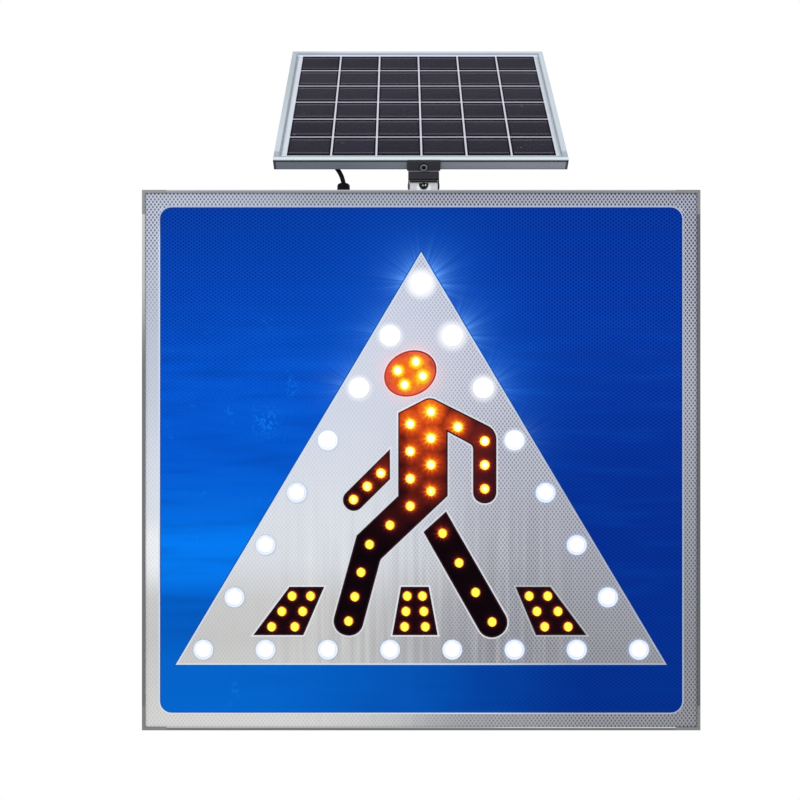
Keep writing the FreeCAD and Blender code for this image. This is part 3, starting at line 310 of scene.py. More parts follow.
def makeLead():
    # a ring carried along the route: each ring is the point plus the radius times
    # cos(turn) of one sideways vector and sin(turn) of the other
    line = readRoute(lead["route"])
    way = np.gradient(line, axis=0)
    way /= np.linalg.norm(way, axis=1)[:, None]
    side = np.cross(way, (1.0, 0.0, 0.0))
    side /= np.linalg.norm(side, axis=1)[:, None]
    up = np.cross(side, way)
    turn = np.linspace(0, 2 * math.pi, lead["sides"], endpoint=False)
    ring = np.cos(turn)[None, :, None] * side[:, None] + np.sin(turn)[None, :, None] * up[:, None]
    points = line[:, None] + ring * (lead["diameter"] / 2)
    points = np.concatenate([np.repeat(line[:1, None], lead["sides"], 1), points,
                             np.repeat(line[-1:, None], lead["sides"], 1)])
    here = startFinish("leadRubber")
    speck = cloud(here, 900.0)
    rubber = endFinish(here, mixed(cloud(here, 60.0), (4, 4, 6), (14, 14, 16)), 0.42 + speck * 0.2,
                       shine=0.06, normal=bumped(speck, 0.15))
    mesh = gridMesh("panelLead", points, True)
    piece = linkPiece("panelLead", mesh, rubber)
    closeMesh(mesh)
    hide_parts("panel_lead")
    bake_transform(piece)
    print("lead", round(float(np.linalg.norm(np.diff(line, axis=0), axis=1).sum()), 4), "m")


def closeMesh(mesh):
    # merges points that stand together, caps open ends and turns all faces outwards
    work = bmesh.new()
    work.from_mesh(mesh)
    bmesh.ops.remove_doubles(work, verts=work.verts, dist=1e-7)
    bmesh.ops.holes_fill(work, edges=[edge for edge in work.edges if edge.is_boundary])
    bmesh.ops.recalc_face_normals(work, faces=work.faces)
    work.to_mesh(mesh)
    work.free()


makeLead()


# The sign's face: its triangle, the blue film's outer edge, and the scale and base that put the
# figure's points, as drawn, where the triangle has them
face = {"apex": 231.6, "base": -227.8, "halfBase": 273.2, "scale": 1.00262, "drawnBase": -227.2,
        "blueHalf": (290.2, 280.8), "blueCorner": 13.0}


def onSign(points):
    # drawn points, as (x, z) and any radii, on the sign
    scale = face["scale"]
    return [(x * scale, face["base"] + (z - face["drawnBase"]) * scale, *(r * scale for r in rest))
            for x, z, *rest in points]


def spread(first, last, count):
    return np.linspace(first, last, count).tolist()


def leaningBox(centre, long, short, lean):
    # the four corners of a rectangle turned by lean degrees about its centre
    turn = math.radians(lean)
    along = np.array([math.cos(turn), math.sin(turn)])
    up = np.array([-math.sin(turn), math.cos(turn)])
    return [(np.array(centre) + a * long * along + b * short * up).tolist()
            for a, b in ((-1, 1), (1, 1), (1, -1), (-1, -1))]


# each stripe's edges are its top left, top right, bottom left and bottom right x
stripes = {"top": -140.6, "bottom": -194.1, "inset": 10.1, "rowPitch": 17.0,
           "shares": (0.255, 0.745),
           "edges": [(-146.0, -107.5, -186.0, -130.6), (-22.4, 8.4, -31.9, 18.3),
                     (104.7, 143.3, 127.3, 183.4)]}


def stripeLamps(topLeft, topRight, bottomLeft, bottomRight):
    # three rows of two lamps, each at its share of the stripe's width
    places = []
    for row in range(3):
        down = stripes["inset"] + stripes["rowPitch"] * row
        share = down / (stripes["top"] - stripes["bottom"])
        left = topLeft + (bottomLeft - topLeft) * share
        right = topRight + (bottomRight - topRight) * share
        places += [(left + (right - left) * part, stripes["top"] - down)
                   for part in stripes["shares"]]
    return places


white = {"apex": (0.0, 196.2), "left": (-241.97, -210.7), "right": (241.97, -210.7)}
lamps = {
    "white": (spread(white["apex"], white["left"], 8)[:-1]
              + spread(white["apex"], white["right"], 8)[1:-1]
              + spread(white["left"], white["right"], 8)),
    "head": onSign(leaningBox((-12.0, 96.0), 11.2, 8.8, 25.9)),
    "body": onSign(spread((-12.1, 39.8), (-12.1, -51.1), 4) + spread((10.9, 53.4), (10.9, -34.7), 4)
                   + [(40.7, 36.5)] + spread((70.5, 20.9), (70.5, -32.0), 3)
                   + [(-34.6, -72.2), (-57.2, -93.6)]
                   + spread((-66.6, -124.4), (-80.4, -178.5), 3)),
    "forearm": onSign(spread((-44.6, -14.7), (-74.9, -43.9), 3)),
    "leg": onSign(spread((23.7, -81.2), (78.6, -179.4), 4)),
    "stripes": onSign([place for edges in stripes["edges"] for place in stripeLamps(*edges)]),
}
# the lamps that dazzle: (which white lamp, its glare's start and end in mm, the strength of the
# glare and of its rays)
glare = [(0, 10.0, 21.0, 0.72, 1.0), (7, 8.9, 21.0, 0.66, 0.85), (1, 8.0, 17.5, 0.62, 0.45),
         (8, 7.8, 18.5, 0.7, 0.5), (2, 8.0, 17.5, 0.62, 0.6), (9, 7.8, 15.5, 0.6, 0.2)]


def fromLamp(here, place):
    # the gap from one lamp's axis to this point, and its length
    x, z = place
    gap = stretched(here, (1.0, 0.0, 1.0)).vector("SUBTRACT", (x * mm, 0.0, z * mm))
    return gap, gap.vector("LENGTH", out="Value")


def nearestLamp(here, places):
    # distance to the closest lamp's axis, and the unit vector that points away from it
    closest = away = None
    for place in places:
        gap, reach = fromLamp(here, place)
        if closest is None:
            closest, away = reach, gap
        else:
            nearer = reach.maths("LESS_THAN", closest)
            away = away.node("Mix", {"data_type": "VECTOR"}, {0: nearer, 4: away, 5: gap}, 1)
            closest = closest.maths("MINIMUM", reach)
    return closest, away.vector("NORMALIZE")


def fading(distance, start, length):
    # 1 up to start, then falling to a third with every length
    return ((distance - start).maths("MAXIMUM", 0.0) / length * -1.0).maths("EXPONENT")


def glareOf(here):
    # how far the dazzling lamps wash the sheeting out
    return strongest([strength * falling(fromLamp(here, lamps["white"][which])[1],
                                         full * mm, none * mm)
                      for which, full, none, strength, _ in glare])


def haloOf(here):
    # the wide soft light round the four brightest of them
    return strongest([fading(fromLamp(here, lamps["white"][which])[1], full * mm, 42.0 * mm)
                      for which, full, *_ in glare[:4]])


def raysOf(here):
    # thin rays round the dazzling lamps: noise over the direction, fading outwards
    total = 0.0
    for which, full, _, _, strength in glare:
        gap, reach = fromLamp(here, lamps["white"][which])
        wide = step(cloud(gap.vector("NORMALIZE"), 5.2, 3.0, 0.7), 0.38, 0.66)
        total = total + fading(reach, (full + 2.6) * mm, 10.0 * mm) * (0.42 + 0.9 * wide) * strength
    return total.maths("MINIMUM", 1.0)


# Sheeting: diamond cells under a clear skin, seen as dark cells in a pale net
cells = {"white": (4.23 * mm, 5.74 * mm), "blue": (5.94 * mm, 4.12 * mm)}


def cellPattern(x, z, kind, inner, outer):
    # 1 in the middle of a cell, 0 on the net: the smaller distance to two sets of slanting lines,
    # where x over the width plus or minus z over the height is a whole number
    across, up = cells[kind]
    one = (x / across + z / up).maths("PINGPONG", 0.5)
    other = (x / across - z / up).maths("PINGPONG", 0.5)
    return step(one.maths("MINIMUM", other), inner, outer)


# the ground's tones up the sign, painted lighter on the left than on the right as the light falls,
# and a painted shade tone for the border
sheeting = {
    "left": [(0.0, 211, 211, 209), (0.1, 201, 201, 200), (0.17, 193, 193, 192),
             (0.24, 197, 197, 197), (0.315, 212, 216, 222), (0.4, 213, 218, 226),
             (0.6, 203, 209, 223), (1.0, 199, 206, 226)],
    "right": [(0.0, 161, 162, 166), (0.15, 153, 154, 161), (0.3, 167, 169, 180),
              (0.6, 197, 200, 216), (1.0, 206, 211, 234)],
    "cell": (74, 77, 90),
    "glow": (252, 253, 255),
    "shadeTone": (138, 141, 154),
    "height": (-0.3, 0.6),
}


def borderTones(x, z, high, border, onBorder, ground):
    # painted shade high up, to the right and in a band on the left, pale beside the film's top, and
    # a bright belt of painted sheen low on the left
    onLeft = onBorder * step(x, -0.26, -0.28)
    return layered(
        ground,
        (onBorder * high * (0.14 + 0.36 * step(abs(x), 0.26, 0.1)), sheeting["shadeTone"]),
        (onBorder * step(x, 0.06, 0.26) * (0.2 + 0.1 * step(z, -0.28, -0.1)), (112, 113, 118)),
        (onBorder * fading(border, 0.6 * mm, 2.6 * mm) * step(z, 0.1, 0.26) * 0.5, (196, 204, 232)),
        (onLeft * step(z, -0.02, 0.12) * step(z, 0.25, 0.15) * 0.28, sheeting["shadeTone"]),
        (onLeft * step(z, -0.055, -0.09) * step(z, -0.155, -0.115) * 0.42, (255, 255, 255)))


def makeWhiteSheeting():
    here = startFinish("whiteSheeting")
    x, z = axesOf(here)
    # painted light: the left tones are lit brighter than the right ones
    height = (z - sheeting["height"][0]) / sheeting["height"][1]
    drift = cloud(here, 7.0, 2.0)
    toRight = step(x + (drift - 0.5) * 0.1 + step(z, -0.1, -0.2) * 0.05, -0.09, 0.13)
    ground = mixed(toRight, ramped(height, sheeting["left"]), ramped(height, sheeting["right"]))
    halfX, halfZ = face["blueHalf"]
    border = (abs(x) - halfX * mm).maths("MAXIMUM", abs(z) - halfZ * mm)
    onBorder = step(border, -0.002, 0.0)
    # upright streaks low down, faint on the border
    streaks = cloud(stretched(here, (1.0, 1.0, 0.03)), 150.0, 3.0) - 0.5
    streaks = streaks * step(z, 0.0, -0.12) * step(abs(x), 0.2, 0.1) * (0.9 - onBorder * 0.675)
    ground = waved(ground, streaks, (1.0, (250, 250, 250)), (1.0, (120, 118, 112)))
    high = step(z, 0.1, 0.28)
    ground = borderTones(x, z, high, border, onBorder, ground)
    strength = (0.14 + 0.46 * step(x, -0.06, 0.12) + 0.3 * high).maths("MINIMUM", 0.66)
    onEdge = 0.4 * high + 0.24 * step(x, 0.1, 0.28) + 0.05 * step(z, -0.2, -0.28)
    cell = cellPattern(x, z, "white", 0.05, 0.27)
    distance, _ = nearestLamp(here, lamps["white"])
    lit = glareOf(here)
    share = cell * (strength + onBorder * onEdge) * (0.75 + 0.5 * drift) * (1.0 - lit)
    outline = step(distance, 12.1 * mm, 11.5 * mm) * step(z, 0.1, -0.1) * 0.1
    ringGlow = fading(distance, 11.4 * mm, 1.1 * mm) * step(z, 0.12, 0.0)
    # painted light: a pink glow round the head's lamps
    warm, _ = nearestLamp(here, lamps["head"])
    base = layered(
        ground,
        (outline, (90, 112, 150)),
        (share, sheeting["cell"]),
        (ringGlow * (0.08 + 0.42 * step(x, 0.0, 0.14)), (178, 204, 242)),
        (lit, sheeting["glow"]),
        (fading(warm, 17.0 * mm, 6.0 * mm) * 0.3, (255, 200, 206)))
    dress(endFinish(here, base, 0.3 + cell * 0.15, shine=0.25, coat=0.2, coatRough=0.08,
                    normal=bumped(cell, 0.12, 0.1 * mm)), "white_sheeting")


# the blue's tones up the sign, painted lighter on the left than on the right as the light falls
blue = {
    "left": [(0.0, 1, 99, 200), (0.11, 1, 96, 194), (0.17, 1, 88, 186), (0.23, 1, 90, 190),
             (0.275, 1, 115, 228), (0.34, 1, 119, 236), (0.4, 1, 100, 214), (0.5, 1, 83, 198),
             (0.64, 1, 79, 199), (0.8, 1, 60, 173), (1.0, 1, 42, 141)],
    "right": [(0.0, 1, 42, 133), (0.5, 3, 39, 139), (0.68, 4, 42, 150), (0.8, 4, 40, 152),
              (1.0, 3, 34, 138)],
    "deep": (0, 22, 96),
    "pale": (14, 104, 218),
    "halo": (110, 178, 255),
    "worn": (16, 132, 240),
    "rubbed": (-173.0 * mm, 43.5 * mm),
    "height": (-0.29, 0.58),
}


def makeBlueFilm():
    here = startFinish("blueFilm")
    x, z = axesOf(here)
    # painted light: the left tones are lit brighter than the right ones
    height = (z - blue["height"][0]) / blue["height"][1]
    drift = cloud(here, 6.0, 2.0)
    toRight = step(x + (drift - 0.5) * 0.16, -0.2, 0.2)
    ground = mixed(toRight, ramped(height, blue["left"]), ramped(height, blue["right"]))
    # wide level belts of painted sheen and shade, fainter at the right and low down
    sheenBands = cloud(stretched(here, (0.12, 1.0, 1.0)), 60.0, 2.0) - 0.5
    sheenBands = sheenBands * (step(abs(z), 0.22, 0.1) + 0.35 * step(z, -0.1, -0.2))
    sheenBands = sheenBands * (1.0 - 0.55 * step(x, 0.05, 0.2))
    ground = waved(ground, sheenBands, (0.85, blue["pale"]), (1.1, blue["deep"]))
    # a thumb's breadth of the left side is rubbed pale, and a few spots round it
    rubbed = fading(reachFrom(blue["rubbed"], x, z), 9.0 * mm, 6.0 * mm)
    spots = step(cloud(here, 30.0, 2.0), 0.6, 0.7) * step(x, -0.06, -0.14) * step(z, 0.2, 0.1) * 0.7
    rubbed = rubbed.maths("MAXIMUM", spots) * step(cloud(here, 260.0, 3.0), 0.47, 0.62)
    cell = cellPattern(x, z, "blue", 0.08, 0.36)
    strength = (0.1 + 0.3 * step(z, 0.0, 0.2) + 0.24 * step(x, -0.02, 0.22)) * (0.7 + 0.6 * drift)
    rays = raysOf(here)
    base = layered(
        ground,
        (rubbed * 0.55, blue["worn"]),
        (cell * strength, blue["deep"]),
        ((1.0 - cell) * (0.06 + step(z, -0.1, 0.2) * 0.14), blue["pale"]),
        (haloOf(here) * 0.42, blue["pale"]),
        (rays * 0.85, blue["halo"]))
    dress(endFinish(here, base, 0.34 + cell * 0.12, shine=0.015, normal=bumped(cell, 0.1, 0.1 * mm),
                    glow=mixed(rays, (0, 0, 0), blue["halo"]), power=0.4), "blue_film")


# heat is the film's colour by how strongly the lamps light it through, from not at all to fully
black = {
    "heat": [(0.0, 13, 4, 9), (0.1, 33, 8, 15), (0.2, 61, 15, 16), (0.35, 110, 31, 20),
             (0.5, 166, 52, 22), (0.65, 223, 82, 26), (0.8, 250, 120, 34), (0.9, 252, 150, 32),
             (1.0, 255, 208, 38)],
    "neck": (0.002, 0.085),
    "cooling": 4.0,
    "head": (-12.0 * mm, 96.3 * mm, 30.1 * mm, 24.7 * mm, 25.9),
    "lampRadius": 5.4 * mm,
}


def headShare(x, z):
    # 0 in the middle of the head's ellipse, 1 on its edge: the root of two squared shares
    middleX, middleZ, long, short, lean = black["head"]
    turn = math.radians(lean)
    right, up = x - middleX, z - middleZ
    along = (right * math.cos(turn) + up * math.sin(turn)) / long
    across = (up * math.cos(turn) - right * math.sin(turn)) / short
    return (along * along + across * across) ** 0.5


def lampGlow(name, x, z, distance):
    # the light round each lamp: wider and stronger high up and on the chest, tight on the head
    if name == "head":
        return fading(distance, black["lampRadius"], 1.4 * mm)
    if name == "leg":
        top = step(z, -0.13, -0.09) * 0.8
    else:
        top = step(z, -0.06, -0.03) * step(x, 0.065, 0.045) * (0.45 + 0.55 * step(x, -0.006, 0.004))
    power = 0.6 + 0.4 * step(z, -0.13, -0.06) + 0.2 * top
    return fading(distance, black["lampRadius"], (2.0 + 1.3 * top) * mm) * power


def makeBlackFilm(name, rest, peak):
    # black film lit through from behind: rest is its heat at the neck, peak what each lamp adds
    here = startFinish("blackFilm" + name.capitalize())
    x, z = axesOf(here)
    distance, away = nearestLamp(here, lamps[name])
    rays = step(cloud(away, 4.6, 1.0), 0.38, 0.64)
    mottle = cloud(here, 240.0, 3.0, 0.6)
    fromNeck = reachFrom((black["neck"][0] * 1.5, black["neck"][1]), x * 1.5, z)
    heat = (rest - fromNeck * black["cooling"]).maths("MAXIMUM", 0.05 if name == "stripes" else 0.0)
    heat = heat * (0.78 + 0.44 * mottle) * falling(distance, 12.0 * mm, 34.0 * mm)
    if name == "body":
        # the chest's far side stays cooler
        heat = heat - step(x, -0.01, -0.02) * step(z, 0.045, 0.02) * step(z, -0.06, -0.03) * 0.12
    lamp = lampGlow(name, x, z, distance)
    heat = heat + lamp * peak * (0.65 + 0.7 * rays)
    colour = ramped(heat, black["heat"])
    if name == "head":
        edge = step(headShare(x, z), 0.55, 1.0) * (1.0 - lamp)
        patch = step(cloud(here, 62.0, 2.0), 0.5, 0.62) * step(z, 0.094, 0.108)
        colour = layered(colour, (edge * (0.4 + 0.5 * mottle), (232, 92, 80)),
                         (edge * patch * 0.6, (136, 44, 52)))
    if name == "body":
        colour = mixed(step(x, 0.018, 0.062) * (1.0 - lamp) * 0.36, colour, (84, 28, 38))
    dress(endFinish(here, stretched(colour, (0.5, 0.5, 0.5)), 0.32 + mottle * 0.12, shine=0.01,
                    glow=colour, power=0.4, normal=bumped(mottle, 0.05, 0.1 * mm)),
          "black_film_" + name)


def makeAmberLens(name, places):
    # a lit lens: high up white with a yellow rim, low down yellow all over with a thin orange rim
    here = startFinish("amberLens" + name.capitalize())
    _, z = axesOf(here)
    distance, away = nearestLamp(here, places)
    wobble = (cloud(away, 1.3, 1.0) - 0.5) * 1.6 * mm
    # a little taller than wide: the distance counts for more sideways
    side, up = axesOf(away)
    reach = distance * (side * side * 1.25 + up * up) ** 0.5 + wobble
    power = step(z, -0.09, 0.03)
    core = falling(reach, (1.0 + 1.2 * power) * mm, (3.2 + 1.4 * power) * mm)
    rim = step(reach, 4.3 * mm, 5.3 * mm)
    middle = mixed(power, (255, 222, 72), (255, 252, 216))
    body = mixed(power, (255, 204, 32), (255, 222, 64))
    edge = mixed(power, (120, 52, 4), (240, 120, 12))
    colour = mixed(rim * (0.85 - 0.35 * power), mixed(core, body, middle), edge)
    dress(endFinish(here, colour, 0.12 + cloud(here, 400.0) * 0.1, glow=colour, power=0.9),
          "amber_lamps_" + name)


lens = {"flange": 11.2 * mm,
        "rim": [(0.5, 251, 253, 255), (0.68, 246, 250, 254), (0.78, 238, 244, 251),
                (0.9, 228, 236, 247), (1.0, 208, 220, 238)]}


def makeWhiteLens():
    # a clear lit cap: low on the sign its flange and a broken ring round its dome show
    here = startFinish("whiteLens")
    _, z = axesOf(here)
    distance, away = nearestLamp(here, lamps["white"])
    high = step(z, -0.04, 0.14)
    ring = step(distance, 8.2 * mm, 8.8 * mm) * step(distance, 9.6 * mm, 9.0 * mm)
    broken = step(cloud(away, 1.5, 1.0), 0.3, 0.6)
    colour = ramped(distance / lens["flange"], lens["rim"])
    colour = mixed(ring * (0.15 + broken * 0.45), colour, (166, 190, 226))
    colour = mixed(high, colour, (255, 255, 255))
    middle = falling(distance, 4.5 * mm, 9.5 * mm).maths("MAXIMUM", high)
    dress(endFinish(here, colour, 0.1 + cloud(here, 300.0) * 0.08, shine=0.2,
                    glow=mixed(middle, (0, 0, 0), colour), power=0.25), "white_lenses")


makeWhiteSheeting()
makeBlueFilm()
for film, rest, peak in (("head", 0.9, 0.7), ("body", 0.775, 0.46), ("forearm", 0.72, 0.46),
                         ("leg", 0.72, 0.46), ("stripes", 0.72, 0.5)):
    makeBlackFilm(film, rest, peak)
makeAmberLens("head", lamps["head"])
makeAmberLens("figure", lamps["body"] + lamps["forearm"] + lamps["leg"])
makeAmberLens("stripes", lamps["stripes"])
makeWhiteLens()
print("face and lamps finished")


# Trim lines where a film ends: a dark line on the film and a painted highlight, a bright line, on
# the sheeting beside it.
# An outline's points are (x, z, radius of the corner), an end is (x, z, radius, lean)
films = {
    "body": [(-25.4, 52.4, 1.5), (9.6, 70.3, 14.0), (83.4, 33.4, 17.0), (83.4, -48.0, 12.38),
             (57.6, -48.0, 12.38), (57.6, 16.0, 6.7), (29.4, 31.3, 0), (29.4, -39.8, 1.5),
             (-45.1, -110.3, 9.0), ("end", -80.5, -178.0, 16.6, -14.7), (-71.5, -83.7, 1.5),
             (-25.4, -39.8, 0)],
    "forearm": [(-34.6, 12.0, 0), (-34.6, -21.3, 0), ("end", -74.6, -44.4, 11.8, -45.8)],
    "leg": [(27.6, -57.1, 0), ("end", 78.5, -179.7, 16.9, 29.8), (2.6, -79.8, 0)],
    "head": (-12.0, 96.0, 30.0, 24.6),
    "headLean": 25.9,
    "roundShare": 0.96,
    "filmFace": -68.72,
    "sheetingFace": -68.42,
    "bulge": 0.01,
}


def roundEnd(x, z, radius, lean):
    # the two corners that make a limb's round end, right then left
    turn = math.radians(lean)
    along = np.array([math.sin(turn), -math.cos(turn)]) * radius
    across = np.array([math.cos(turn), math.sin(turn)]) * radius
    middle = np.array([x, z])
    bend = radius * films["roundShare"]
    return [(*(middle + along + across), bend), (*(middle + along - across), bend)]


def withEnds(corners):
    full = []
    for corner in corners:
        full += roundEnd(*corner[1:]) if corner[0] == "end" else [corner]
    return full


def outlineOf(full, steps=10):
    # corner points, each turned by an arc of its radius that touches both of its sides
    line = []
    for i, (x, z, radius) in enumerate(full):
        here = np.array([x, z])
        back = np.array(full[i - 1][:2]) - here
        ahead = np.array(full[(i + 1) % len(full)][:2]) - here
        back, ahead = back / np.linalg.norm(back), ahead / np.linalg.norm(ahead)
        if radius <= 0:
            line.append(here)
            continue
        half = math.acos(float(np.clip(back @ ahead, -1, 1))) / 2
        middle = here + (back + ahead) / np.linalg.norm(back + ahead) * radius / math.sin(half)
        first = here + back * radius / math.tan(half) - middle
        last = here + ahead * radius / math.tan(half) - middle
        share = np.linspace(0, 1, steps)[:, None]
        angle = math.pi - 2 * half
        arc = (first * np.sin((1 - share) * angle) + last * np.sin(share * angle)) / math.sin(angle)
        line += list(middle + arc)
    return np.array(line)


def ellipseLine(x, z, long, short, lean, count=72):
    # long times the cosine and short times the sine of a full turn, leant over and moved to x, z
    turn = np.linspace(0, 2 * math.pi, count, endpoint=False)
    tilt = math.radians(lean)
    a, b = long * np.cos(turn), short * np.sin(turn)
    return np.c_[x + a * math.cos(tilt) - b * math.sin(tilt),
                 z + a * math.sin(tilt) + b * math.cos(tilt)]


def rimMesh(line, profile):
    # a profile of (outwards, y) points carried round a closed outline: each point moves out along
    # the mean of its two side normals, divided by the cosine of half the turn
    ahead = np.roll(line, -1, 0) - line
    ahead /= np.linalg.norm(ahead, axis=1)[:, None]
    back = np.roll(ahead, 1, 0)
    area = (line[:, 0] * np.roll(line[:, 1], -1) - np.roll(line[:, 0], -1) * line[:, 1]).sum()
    turnRight = np.array([[0, -1], [1, 0]]) if area > 0 else np.array([[0, 1], [-1, 0]])
    normal = (ahead + back) / 2 @ turnRight
    normal /= (normal ** 2).sum(1)[:, None]
    out, depth = np.array(profile).T
    flat = line[:, None] + normal[:, None] * out[None, :, None]
    points = np.stack([flat[..., 0], np.broadcast_to(depth, flat.shape[:2]), flat[..., 1]], -1) * mm
    share = np.broadcast_to(np.linspace(0, 1, len(profile)), flat.shape[:2])
    around = np.broadcast_to(np.arange(len(line))[:, None] / len(line), flat.shape[:2])
    uv = np.stack([share, around], -1)
    return gridMesh("rim", np.r_[points, points[:1]], False, np.r_[uv, uv[:1]])


def rimProfile(outs):
    # (outwards, y) from the film, down its cut edge and on along the sheeting
    front, ground = films["filmFace"], films["sheetingFace"]
    return list(zip(outs, (front, front - films["bulge"], front, ground, ground, ground)))


def rimFinish(name, inner, outer, dimmed, away):
    # inner on the film's side and outer on the sheeting's, by the UV map; both get painted shade
    # where away(x, z) is 1, away from the light
    here = startFinish(name)
    uv = here.node("UVMap", {"uv_map": "along"})
    share = step(uv.node("SeparateXYZ", {}, {0: uv}), 0.42, 0.6)
    grain = cloud(here, 300.0)
    shade = away(*axesOf(here))
    dark, bright = mixed(shade, inner, dimmed[0]), mixed(shade, outer, dimmed[1])
    return endFinish(here, mixed(share * (0.9 + grain * 0.1), dark, bright), 0.4 + grain * 0.15,
                     shine=0.1)


def fitRim(name, meshes, material):
    # the outlines' trims as one piece, all of it facing the front
    work = bmesh.new()
    for mesh in meshes:
        work.from_mesh(mesh)
        bpy.data.meshes.remove(mesh)
    bmesh.ops.remove_doubles(work, verts=work.verts, dist=1e-8)
    for side in work.faces:
        if side.normal.y > 0.01:
            side.normal_flip()
    joined = bpy.data.meshes.new(name)
    work.to_mesh(joined)
    work.free()
    piece = linkPiece(name, joined, material)
    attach(piece, "housing")


def makeRims():
    profile = rimProfile((-1.6, -0.8, 0.02, 0.03, 0.9, 1.8))
    figure = [rimMesh(outlineOf(onSign(withEnds(films[name]))), profile)
              for name in ("body", "forearm", "leg")]
    finish = rimFinish("figureEdge", (104, 26, 18), (234, 230, 240),
                       ((30, 8, 16), (216, 215, 223)),
                       lambda x, z: step(z, 0.055, -0.01).maths("MAXIMUM", step(x, -0.01, 0.03)))
    fitRim("figureEdges", figure, finish)
    top, bottom = stripes["top"], stripes["bottom"]
    low = []
    for topLeft, topRight, bottomLeft, bottomRight in stripes["edges"]:
        corners = [(topLeft, top, 0), (topRight, top, 0),
                   (bottomRight, bottom, 0), (bottomLeft, bottom, 0)]
        low.append(rimMesh(outlineOf(onSign(corners)), profile))
    finish = rimFinish("stripeEdge", (24, 5, 8), (224, 223, 230),
                       ((22, 5, 8), (180, 181, 187)), lambda x, z: step(x, 0.03, 0.1))
    fitRim("stripeEdges", low, finish)
    oval = ellipseLine(*onSign([films["head"]])[0], films["headLean"])
    finish = rimFinish("headEdge", (176, 50, 34), (246, 214, 220),
                       ((120, 30, 34), (238, 220, 232)), lambda x, z: step(x + z, 0.084, 0.13))
    profile = rimProfile((-1.6, -0.8, 0.02, 0.03, 0.8, 1.4))
    fitRim("headEdge", [rimMesh(oval, profile)], finish)
    # the blue film's outer edge turns as the black ones do, its opening the other way
    halfX, halfZ = face["blueHalf"]
    outer = outlineOf([(x * halfX, z * halfZ, face["blueCorner"])
                       for x, z in ((-1, 1), (1, 1), (1, -1), (-1, -1))])
    opening = outlineOf([(0, face["apex"], 0), (face["halfBase"], face["base"], 0),
                         (-face["halfBase"], face["base"], 0)])
    profile = rimProfile((-1.1, -0.5, 0.02, 0.03, 0.9, 1.7))
    inwards = [(-out, depth) for out, depth in profile]
    finish = rimFinish("blueEdge", (8, 72, 156), (204, 221, 243),
                       ((5, 34, 108), (166, 180, 210)),
                       lambda x, z: step(x, 0.05, 0.18).maths("MAXIMUM", step(z, 0.235, 0.275)))
    fitRim("blueEdges", [rimMesh(outer, profile), rimMesh(opening, inwards)], finish)


makeRims()
print("film edges made")


# Panel
panel = {"start": (0.0, -55.0 * mm, 337.8 * mm), "tilt": 47.4, "halfWidth": 167.0 * mm,
         "firstCell": (-153.8 * mm, 12.4 * mm), "pitch": (51.6 * mm, 41.0 * mm),
         "halfLip": 5.0 * mm, "screw": (3.4 * mm, -7.4 * mm)}


def onSlope(here):
    # how far from the panel's lower front edge: up its slope, and out of its face
    turn = math.radians(panel["tilt"])
    gap = here.vector("SUBTRACT", panel["start"])
    ways = ((0.0, math.cos(turn), math.sin(turn)), (0.0, -math.sin(turn), math.cos(turn)))
    return [gap.vector("DOT_PRODUCT", way, out="Value") for way in ways]


def makeCells():
    # dark cells with pale busbars and gaps, each a little different, a few specks of dust on them
    here = startFinish("solarCell")
    x, _ = axesOf(here)
    slope, _ = onSlope(here)
    across = (x - panel["firstCell"][0]) / panel["pitch"][0]
    up = (slope - panel["firstCell"][1]) / panel["pitch"][1]
    fromMiddle = abs(up.maths("FRACT") - 0.5)
    lines = step(abs(fromMiddle - 0.335), 0.026, 0.01)
    sides = step(abs(across.maths("FRACT") - 0.5), 0.43, 0.455)
    sides = sides.maths("MAXIMUM", step(fromMiddle, 0.375, 0.42))
    cell = up.node("CombineXYZ", {}, {0: across.maths("FLOOR"), 1: up.maths("FLOOR")})
    each = cell.node("TexWhiteNoise", {"noise_dimensions": "2D"}, {"Vector": cell})
    base = layered(
        mixed(each, (41, 40, 51), (48, 47, 59)),
        (step(up, 6.0, 0.0) * 0.35, (28, 28, 41)),
        (cloud(here, 40.0) * 0.12, (60, 54, 72)),
        (lines * 0.3, (150, 146, 156)),
        (sides * 0.9, (8, 6, 16)),
        (step(cloud(here, 170.0, 2.0), 0.74, 0.77) * 0.25, (190, 190, 196)))
    dress(endFinish(here, base, 0.3 + each * 0.12, shine=0.02), "solar_cells")


def makeGlass():
    here = startFinish("panelGlass")
    smear = cloud(here, 14.0, 3.0)
    glass = endFinish(here, mixed(smear, (96, 100, 112), (120, 124, 138)), 0.05 + smear * 0.06,
                      shine=0.2, alpha=0.006 + smear * 0.008)
    glass.surface_render_method = "BLENDED"
    dress(glass, "panel_glass")


